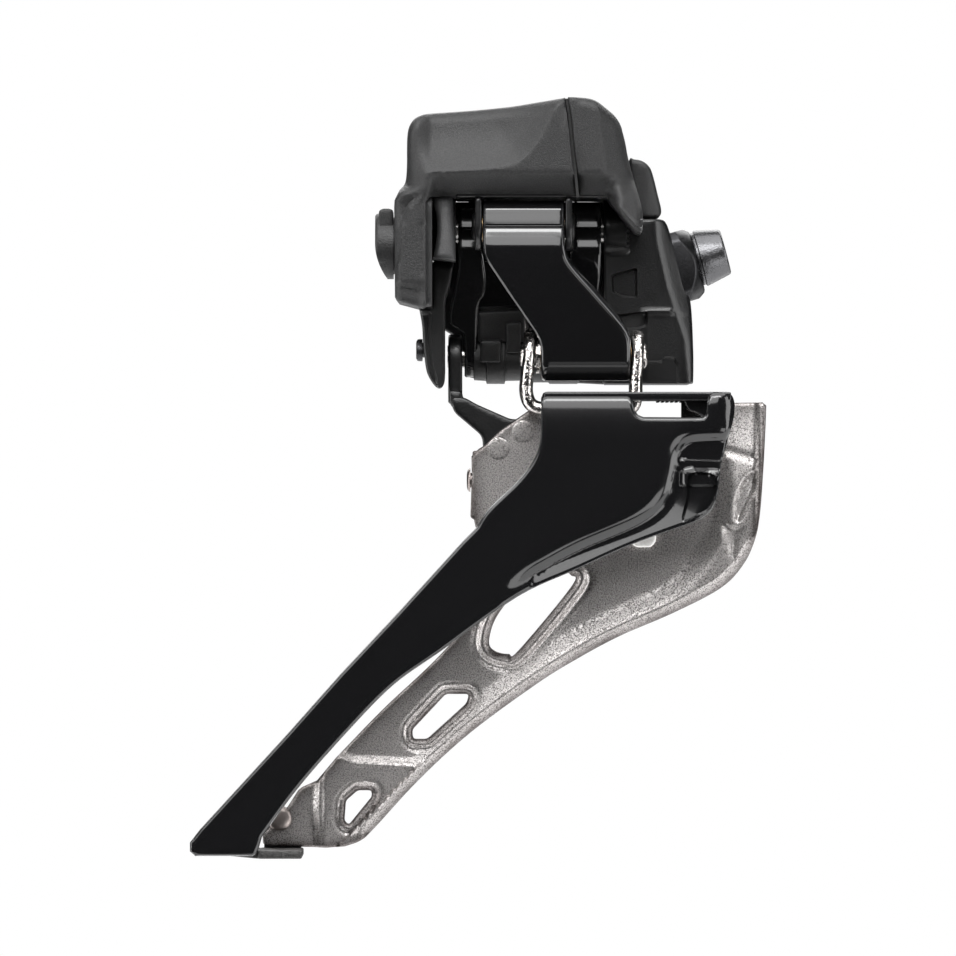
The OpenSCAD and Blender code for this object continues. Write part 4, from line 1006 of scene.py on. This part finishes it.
def build_housing():
    """Grained housing in two halves, its gear case and the small pieces on it."""
    y0, y1 = HOUSING_Y
    crown = soft([[-36.1, 9.9], [-35.5, 10.6], [-35.25, 11.6], [-35.15, 13.5], [-35.15, 15.1], [-35.1, 17.0],
            [-34.85, 18.3], [-34.2, 19.3], [-33.2, 19.85], [-32, 20.1], [-28.5, 20.35], [-25.4, 20.6],
            [-21.4, 21], [-18.1, 21.5], [-14.1, 22.1]])
    case = [[-32.0, 9.0], [-32.55, 8.3], [-32.55, -5.6], [-33.0, -5.85], [-33.7, -5.7], [-36.3, -5.0],
            [-36.75, -4.4], [-36.85, 7.6], [-36.8, 8.5]]
    crease = soft([[-34.5, 12.0], [-31.5, 12.2], [-26, 12.5], [-22, 12.95], [-19.6, 14.0], [-17.6, 16.4],
                   [-15.9, 19.6], [-14.6, 22.6]])
    panel = soft([[-36.0, -2.6], [-36.05, 2.5], [-35.9, 5.0], [-35.2, 7.2], [-33.9, 8.6], [-31.5, 9.4],
                  [-30.5, 5.0], [-30.5, -2.6]], True)
    rib = soft([[-32.9, -2.6], [-33.05, 3.0], [-33.0, 5.0], [-32.4, 6.2]])

    def face(p):
        x, z = p[:, 0], p[:, 1]
        s = np.clip(-side_of(p, crease), 0, None)
        deep = 3.1 * (1 - np.exp(-(s + 0.12 * s ** 2) / 4.6))
        west = 0.75 * np.clip(-32.6 - x, 0, None) ** 1.2 * step((z - 8.5) / 2.5)
        low = step((10.4 - z) / 2.6) * step((-31.6 - x) / 2.2)
        y = y0 + deep * step((x + 34.6) / 2.8) + west * (1 - low)
        y = y + band_slope(z) * step((x + 32.4) / 1.6)
        case_y = y0 + 1.25 - pocket(p, panel, 0.6, 0.5) + 0.35 * np.exp(-(gap_to(p, rib,
                False) / 0.25) ** 2)
        case_y = case_y + 0.45 * step((-2.2 - z) / 1.0) + 0.5 * np.clip(-36.0 - x, 0, None)
        return y * (1 - low) + case_y * low

    def edge(p):
        x, z = p[:, 0], p[:, 1]
        r = 1.15 + 0.5 * step((z - 17) / 3) - 0.85 * step((x + 14.6) / 0.8)
        return r - 0.6 * step((8.9 - z) / 1.0)

    shell = slab(ring(crown, SPLIT[1:], case), face, y1, (), 0.45, edge, 1.4,
                 [(crease, False, 0.14), (rib, False, 0.2), (panel, True, 0.25)])
    room = hollow([[-14.6, 11.6], [-33.4, 11.6], [-33.4, 17.2], [-31.6, 18.4], [-18, 19.9], [-14.9, 20.2]],
            y0 + 4.6, y1 - 1.3)
    piece("housing_shell", join(shell, room), "bracket_unit", "housing_grain",
          ["motor_housing"], 50)

    cap_line = ring(SPLIT + [0.4, 0], soft([[-12.2, 9.0], [-9.6, 8.9], [-8.4, 8.75], [-7.9, 8.1],
            [-5.3, 4.9], [-4.4, 4.15], [-3.85, 4.3], [-3.7, 5.8], [-3.9, 7.8], [-5.55, 13.8], [-6.05, 16.4],
            [-6.6, 18.4], [-7.4, 19.7], [-8.7, 20.8], [-10.1, 21.75], [-11.6, 22.1], [-13.7, 22.15]]))
    ridge = [[-9.9, 23], [-9.4, 17], [-8.75, 10.2], [-7.6, 8.4], [-4.6, 5.4]]
    ridge2 = [[-5.9, 15.6], [-4.9, 11.2], [-4.2, 7.6]]

    def cap_face(p):
        s = np.clip(side_of(p, ridge[::-1]), 0, None)
        t = np.clip(side_of(p, ridge2[::-1]), 0, None)
        return y0 + 1.15 * s + 0.9 * t + band_slope(p[:, 1]) * step((-6.5 - p[:, 0]) / 2.5)

    def cap_edge(p):
        return 1.2 - 0.95 * step((-12.0 - p[:, 0]) / 0.9) - 0.5 * step((11 - p[:, 1]) / 1.5)

    cap = slab(cap_line, cap_face, y1, (), 0.45, cap_edge, 1.4, [(ridge, False, 0.2), (ridge2, False, 0.2)])
    room = hollow([[-12.4, 11.6], [-7.4, 11.6], [-8.2, 17.6], [-9.2, 19], [-12.9, 20.2]], y0 + 5, y1 - 1.3)
    piece("housing_front_cap", join(cap, room), "bracket_unit", "housing_grain", ["housing_cap"],
            50)

    seal = slab(ring(SPLIT + [0.02, -0.12], (SPLIT + [0.38, -0.12])[::-1]), y0 + 0.5, y1 - 0.6, (), 0.6,
            0.05, 0.05)
    piece("housing_joint_seal", seal, "bracket_unit", "seal_rubber", ["housing_seal"])
    lug = slab(soft([[-5.3, 6.55], [-5.3, 10], [-5.3, 14.2], [-4.6, 14.4], [-3.5, 14.15], [-2.6, 13.4],
            [-2.1, 12.2], [-1.45, 9.6], [-1.0, 7.7], [-1.15, 6.85], [-1.8, 6.55], [-3.6, 6.55]], True),
            lambda p: -6 + 0.5 * np.clip(p[:, 0] + 3.0, 0, None), 5.2, (), 0.45, 0.6, 0.6)
    piece("housing_front_lug", lug, "bracket_unit", "case_grain", ["housing_lug"])
    lid = moved(flipped(slab(fillet([[-22.2, -5.6], [3.8, -5.6], [3.8, 8.8], [-22.2, 8.8]], 1.2), -32.6,
            -31.8, (), 0.8, 0.1, 0.15)), across_x)
    piece("gear_case_cover", lid, "bracket_unit", "case_grain", ["gear_case_lid"])
    build_port_collar()


def build_bracket():
    """Black forging with its seat, ears, back wall and rear arm."""
    outline = ring([[-8.8, 11.2], [-8.8, -15.6], [-8.5, -15.9], [2.7, -15.9]],
            soft([[3.1, -15.75], [3.3, -15.3], [3.3, -10.8], [2.9, -4.3], [1.5, 0.2], [0.2, 4.4],
            [-0.35, 5.8], [-0.95, 6.3], [-2.2, 6.35]]), [[-5.6, 6.35], [-5.6, 11.2]])
    hole = fillet([[-7.6, -1.2], [-4.4, -0.35], [-4.35, -4.25], [-6.4, -4.0], [-7.5, -3.4]], 0.3)
    cove = fillet([[-4.9, -6.4], [-2.9, -6.2], [-3.0, -8.0], [-4.2, -8.4], [-8.9, -8.4], [-8.9, -7.0]], 0.4)
    crease = [[-1.9, 7], [-1.6, 3.2], [-0.2, -3.0], [2.1, -10], [2.7, -16]]
    shelf = [[-9, -12.9], [-1.0, -12.9], [-0.6, -12.3], [0.7, -12.4], [1.2, -13.4], [1.2, -16.2]]
    line = [[-3.5, -6.0], [0.4, -6.0]]

    def face(p):
        x, z = p[:, 0], p[:, 1]
        s = -side_of(p, crease)
        y = -7.1 + 0.55 * (s + np.sqrt(s ** 2 + 0.35))
        y = y + pocket(p, hole, 1.3, 0.26) + pocket(p, cove, 1.0, 0.3)
        y = y + 0.4 * step(side_of(p, shelf) / 0.35 + 0.5) - 0.18 * np.exp(-(gap_to(p, line,
                False) / 0.2) ** 2)
        y = y + 0.21 * step((x + 3.6) / 0.6) * step((-6.2 - z) / 0.6)
        bush = 3.95 ** 2 - (z - INNER_UP[1]) ** 2
        over = INNER_UP[0] - np.sqrt(np.clip(bush, 0, None))
        return np.where((bush > 0) & (x < -5.4), np.minimum(y, over), y)

    block = slab(outline, face, 8, (), 0.38, 0.4, 0.6,
                 [(hole, True, 0.14), (cove, True, 0.16), (crease, False, 0.2), (shelf, False, 0.18)])
    seat_outline = fillet([[-4.75, -5.4], [4.75, -5.4], [4.75, 5.4], [-4.75, 5.4]], 0.6)
    pad = slab(seat_outline, seat_curve, 1.6, (), 0.5, 0.15, 0.1)
    seat = moved(pad, slab_on_seat)
    base = slab(fillet([[-28.6, 8.92], [-6.2, 8.92], [-6.2, 11.2], [-28.6, 11.2]], 0.2), -19.9, 4.4, (), 1.0,
            0.3, 0.3)
    wall = slab(fillet([[-31.72, 8.95], [-31.72, -7.5], [-28.6, -9.5], [-27.2, -14.9], [-8, -15.85],
            [-8, 8.95]], 0.8), lambda p: 5.0 + 0.5 * step((-3 - p[:, 1]) / 0.6), 8, (), 0.8, 0.4, 0.6)
    ears = []
    a = np.linspace(np.pi, 2 * np.pi, 21)
    round_end = np.stack([OUTER_UP[0] + 3.2 * np.cos(a), OUTER_UP[1] + 3.2 * np.sin(a)], 1)
    ear_line = ring(round_end, [[OUTER_UP[0] + 3.2, 8.9], [OUTER_UP[0] - 3.2, 8.9]])
    for x in (-26.1, -14.0):
        ear = slab(ear_line, x, x + 0.9, (), 0.5, 0.3, 0.3)
        ears.append(moved(flipped(ear), across_x))
    piece("bracket_forging", join(block, seat, base, wall, *ears), "bracket_unit", "bracket_black",
            ["bracket"], 45)
    build_rear_arm()

    ends = join(turned(rounded(-26.2, -13.0, 1.5, 0.1)), flipped(turned(dome(-26.13, -26.55, 1.9, 0.5), 40)),
            turned(dome(-13.07, -12.7, 1.9, 0.5), 40))
    piece("link_upper_pin", moved(ends, on_x(OUTER_UP)), "bracket_unit", "arm_black", ["upper_outer_pin"])

    bolt = turned([(-4.0, 0), (-4.0, 2.3), (-3.7, 2.5), (4.0, 2.5), (4.0, 3.55), (4.1, 3.62), (4.4, 3.62),
            (4.5, 3.82), (4.62, 3.86), (7.7, 3.16), (7.9, 3.08), (8.05, 2.86), (8.05, 2.5), (7.9, 2.33),
            (5.2, 2.3), (5.0, 0)], 96, (13, 14))
    piece("hanger_clamp_bolt", moved(bolt, on_seat), "bracket_unit", "bolt_steel", ["clamp_bolt"])

    shape = fillet([[-4.75, -4.1], [-3.6, -5.2], [3.6, -5.2], [4.75, -4.1], [4.75, 3.2], [3.6, 4.35],
            [-3.6, 4.35], [-4.75, 3.2]], 0.5)

    def nose(p):
        y, z = p[:, 0], p[:, 1] + 0.35
        r = np.hypot(y, z)
        corner_cut = 0.35 * np.clip(np.abs(z) - 3.9, 0, None)
        return -3.98 + np.clip(1.05 * (r - 4.25), 0, None) + corner_cut

    washer = slab(shape, nose, lambda p: seat_curve(p) - WASHER_GAP, (), 0.36, 0.12, 0.15)
    washer = moved(washer, slab_on_seat)
    piece("hanger_radius_washer", washer, "bracket_unit", "washer_steel", ["radius_washer"],
            28)

    screw = turned([(-3.2, 0), (-3.0, 1.15), (-5.3, 1.16), (-5.42, 1.4), (-5.4, 1.7), (-5.2, 2.0),
            (10.2, 2.0), (10.45, 1.85), (10.5, 1.5), (11.25, 1.5), (11.4, 1.35), (11.4, 0)], 60, (1, 2))
    piece("support_grub_screw", moved(flipped(screw), on_y((-6.8, -3.0))), "support_screw_body",
            "screw_steel", ["support_screw"])


def build_port_collar():
    """Collar round the wire socket: a tube along X whose rear rim is cut back by an arc below,
    with a keyway on top and two small ribs beside it."""
    at = axis_of("wire_socket")
    n = 96
    a = np.arange(n) * 2 * np.pi / n
    profile = np.array([(-36.95, 3.84), (-36.95, 4.45), (-38.9, 4.45), (-39.2, 4.38), (-39.35, 4.2),
            (-39.4, 4.05), (-39.3, 3.88), (-39.1, 3.84)])
    x = np.repeat(profile[:, 0, None], n, 1)
    y = profile[:, 1, None] * np.cos(a)
    z = profile[:, 1, None] * np.sin(a)
    limit = -29.9 - 9.5 * np.sqrt(np.clip(1 - (np.clip(2.8 - (z + at[1]), 0, None) / 8.4) ** 2, 0, 1))
    x = np.maximum(x, limit)
    key = step((0.95 - np.abs(y)) / 0.25) * (z > 2)
    x = np.where(x < -37.3, x * (1 - key) + (-37.3) * key, x)
    verts = np.stack([x, y + at[0], z + at[1]], 2).reshape(-1, 3)
    faces = bands(len(profile), n, True)[:, (3, 0, 1, 2)]
    tube = (verts, [tuple(f) for f in faces.tolist()], np.zeros(len(verts)))
    ribs = [slab(fillet([[-38.9, 2.6], [-37.0, 2.6], [-37.0, 7.2], [-37.5, 7.4], [-38.4, 7.4], [-38.9, 7.1]],
            0.3), c, c + 0.7, (), 0.4, 0.2, 0.1) for c in (at[0] - 3.6, at[0] + 2.9)]
    piece("port_collar_ring", join(tube, *ribs), "bracket_unit", "case_grain", ["port_collar"])


def build_rear_arm():
    """Rear arm: a round-faced boss under the housing and a lobe below it in two layers."""
    edge_left = soft([[-31.75, 9.15], [-31.7, 8.0], [-31.25, 6.6], [-31.15, 4.0], [-31.5, 1.6],
            [-31.75, 0.75]])
    edge_right = soft([[-28.66, 0.45], [-28.75, 3.0], [-28.98, 6.0], [-29.0, 9.15]])
    drum = ring(edge_left, edge_right)

    def drum_face(p):
        return -20.4 + 0.19 * (p[:, 1] - 0.7) + 0.10 * (p[:, 0] + 30.2) ** 2

    boss_front = slab(drum, drum_face, INNER_UP[0] + 1.0, (), 0.4, 0.6, 0.2)
    boss = moved(turned(rounded(-31.8, -28.66, 4.5, 0.5)), on_x(INNER_UP))
    lobe = ring(soft([[-33.6, -5.7], [-33.2, -8], [-33.05, -10.6], [-32.7, -13.6], [-32.3, -14.9],
            [-31.5, -16.1], [-30.8, -16.45], [-30.25, -15.8], [-30.1, -14.4], [-30.1, -12.6],
            [-30.1, -5.2]]), soft([[-29.95, -4.3], [-29.45, -2.6], [-29.2, -1.2], [-28.9, 0.7]]),
            [[-28.85, 1.4], [-31.0, 1.4]], [[-31.82, 0.4], [-31.82, -5.7]])
    layer = soft([[-32.1, -6.4], [-32.15, -9.5], [-31.9, -12.6], [-31.3, -15.2]])

    def arm_face(p):
        back = step(-side_of(p, layer[::-1]) / 0.35 + 0.5)
        return -9.4 + 0.9 * back * step((-6.0 - p[:, 1]) / 0.5) + 1.6 * step((p[:, 1] + 0.4) / 1.4)

    arm = slab(lobe, arm_face, -2.5, (), 0.42, 0.42, 0.5, [(layer, False, 0.18)])
    lift = slab(fillet([[-31.8, 6], [-28.65, 6], [-28.65, 11.1], [-31.8, 11.1]], 0.3), -2, 4.2, (), 0.8, 0.3,
            0.3)
    piece("bracket_rear_arm", join(arm, lift), "bracket_unit", "arm_black", ["rear_arm"])
    piece("bracket_arm_boss", join(boss, boss_front), "bracket_unit", "boss_satin", ())
    screw = turned([(-33.98, 0), (-33.5, 0.01), (-33.5, 0.75), (-33.98, 0.8), (-34.0, 1.1), (-33.85, 1.42),
            (-33.6, 1.5), (-33.15, 1.5), (-33.12, 1.0), (-30.3, 1.0), (-30.3, 0)], 48, (2, 3))
    piece("rear_arm_screw", moved(screw, on_x((-5.8, -11.3))), "bracket_unit", "screw_steel", ["arm_screw"])


# ---------------------------------------------------------------- kept nodes

KEPT = {"brass": ["output_gear", "motor_pinion", "socket_contacts"], "bronze": ["shaft_bushes",
        "inner_link_bushes", "outer_link_bushes"], "pin_steel": ["lower_inner_pin", "drive_shaft",
        "saver_spring", "motor_shaft", "idler_axle", "motor_plate"], "can_steel": ["motor_can"],
        "acetal": ["idler_gear"], "board_green": ["circuit_board"], "chip_black": ["board_chips"],
        "seal_rubber": ["shaft_seal"], "socket_black": ["wire_socket"], "nickel": ["pin_washers"],
        "screw_steel": ["housing_screws"], }


BEVELLED = ("wire_socket", "circuit_board", "board_chips", "motor_can", "housing_screws")


def dress_kept_nodes():
    """CAD nodes that stay get their finish, and the chunky ones a small bevel."""
    for finish_name, names in KEPT.items():
        for name in names:
            thing = nodes[name]
            thing.data.materials.clear()
            thing.data.materials.append(finishes[finish_name])
            if name in BEVELLED:
                weld = thing.modifiers.new("weld", "WELD")
                weld.merge_threshold = 0.000001
                bevel = thing.modifiers.new("bevel", "BEVEL")
                bevel.width, bevel.segments, bevel.limit_method = 0.00012, 2, "ANGLE"
                bevel.angle_limit = math.radians(40)


# ---------------------------------------------------------------- stage

def panel_light(name, at, size, power, target):
    """Soft rectangular light at a point in metres, facing a target."""
    data = bpy.data.lights.new(name, "AREA")
    data.shape, data.size, data.size_y = "RECTANGLE", size[0], size[1]
    data.energy = power
    lamp = bpy.data.objects.new(name, data)
    lamp.location = at
    lamp.rotation_mode = "QUATERNION"
    lamp.rotation_quaternion = (Vector(target) - Vector(at)).to_track_quat("-Z", "Y")
    bpy.context.scene.collection.objects.link(lamp)


def build_world():
    """White backdrop to the eye; for reflections, a dark room a little brighter overhead."""
    world = bpy.data.worlds.new("studio")
    world.use_nodes = True
    tree = world.node_tree
    tree.nodes.clear()
    where = add(tree, "ShaderNodeTexCoord")
    split = add(tree, "ShaderNodeSeparateXYZ", [(0, where.outputs["Generated"])])
    ramp = add(tree, "ShaderNodeValToRGB", [(0, split.outputs["Z"])])
    ramp.color_ramp.elements[0].position, ramp.color_ramp.elements[0].color = 0.0, (0.02, 0.02, 0.02, 1)
    ramp.color_ramp.elements[1].position, ramp.color_ramp.elements[1].color = 0.9, (0.12, 0.12, 0.122, 1)
    room = add(tree, "ShaderNodeBackground", [("Color", ramp.outputs[0]), ("Strength", 0.8)])
    backdrop = add(tree, "ShaderNodeBackground", [("Color", (1, 1, 1, 1)), ("Strength", 1.0)])
    eye = add(tree, "ShaderNodeLightPath")
    both = add(tree, "ShaderNodeMixShader", [(0, eye.outputs["Is Camera Ray"]), (1, room.outputs[0]),
            (2, backdrop.outputs[0])])
    add(tree, "ShaderNodeOutputWorld", [("Surface", both.outputs[0])])
    bpy.context.scene.world = world


# (name, place, size, power), in metres and watts; each faces the object, the first one its front
LIGHTS = [("overhead", (-0.03, -0.33, 0.62), (1.2, 1.1), 10),
          ("front_top", (-0.03, -0.68, 0.56), (0.9, 0.16), 4.2),
          ("low_right", (0.42, -0.62, -0.40), (0.5, 0.4), 1.5),
          ("front_high_left", (-0.22, -0.80, 0.33), (0.8, 0.30), 2.2),
          ("left_side", (-0.75, -0.22, 0.02), (0.4, 0.8), 3.6),
          ("right_side", (0.75, -0.22, 0.02), (0.4, 0.8), 3.0),
          ("behind", (0.0, 0.8, 0.5), (1.2, 0.5), 5)]
MIDDLE = (-0.0257, -0.01, -0.0285)
IN_FRONT = (-0.03, -0.2, 0)
FLOOR_X, FLOOR_FRONT, FLOOR_REAR, FLOOR_DROP = 0.6, -0.11, 0.5, 0.07
EYE = (-0.02568, -1.5, -0.02851)
LENS, SENSOR = 417.9, 36


def build_stage():
    """Pale floor, soft lights and the camera."""
    low = cad_box[0].z - FLOOR_DROP
    corners = [(-FLOOR_X, FLOOR_FRONT, low), (FLOOR_X, FLOOR_FRONT, low), (FLOOR_X, FLOOR_REAR, low),
               (-FLOOR_X, FLOOR_REAR, low)]
    mesh = bpy.data.meshes.new("floor")
    mesh.from_pydata(corners, [], [(0, 1, 2, 3)])
    f = Finish("floor_white", Roughness=0.7)
    cloud = f.use(CLOUD, Size=3.0)
    f.feed("Base Color", f.mix(cloud.outputs[0], (0.90, 0.90, 0.90), (0.93, 0.93, 0.93)))
    mesh.materials.append(f.material)
    floor = bpy.data.objects.new("floor", mesh)
    bpy.context.scene.collection.objects.link(floor)
    for name, place, size, power in LIGHTS:
        panel_light(name, place, size, power, IN_FRONT if name == "overhead" else MIDDLE)
    camera = bpy.data.cameras.new("camera")
    camera.lens, camera.sensor_width = LENS, SENSOR
    camera.clip_start, camera.clip_end = 0.1, 20
    eye = bpy.data.objects.new("camera", camera)
    eye.location = EYE
    eye.rotation_euler = (math.pi / 2, 0, 0)
    bpy.context.scene.collection.objects.link(eye)
    bpy.context.scene.camera = eye
    bpy.context.scene.view_settings.view_transform = "Standard"


build_world()
build_cage()
build_links()
build_housing()
build_bracket()
dress_kept_nodes()
build_stage()
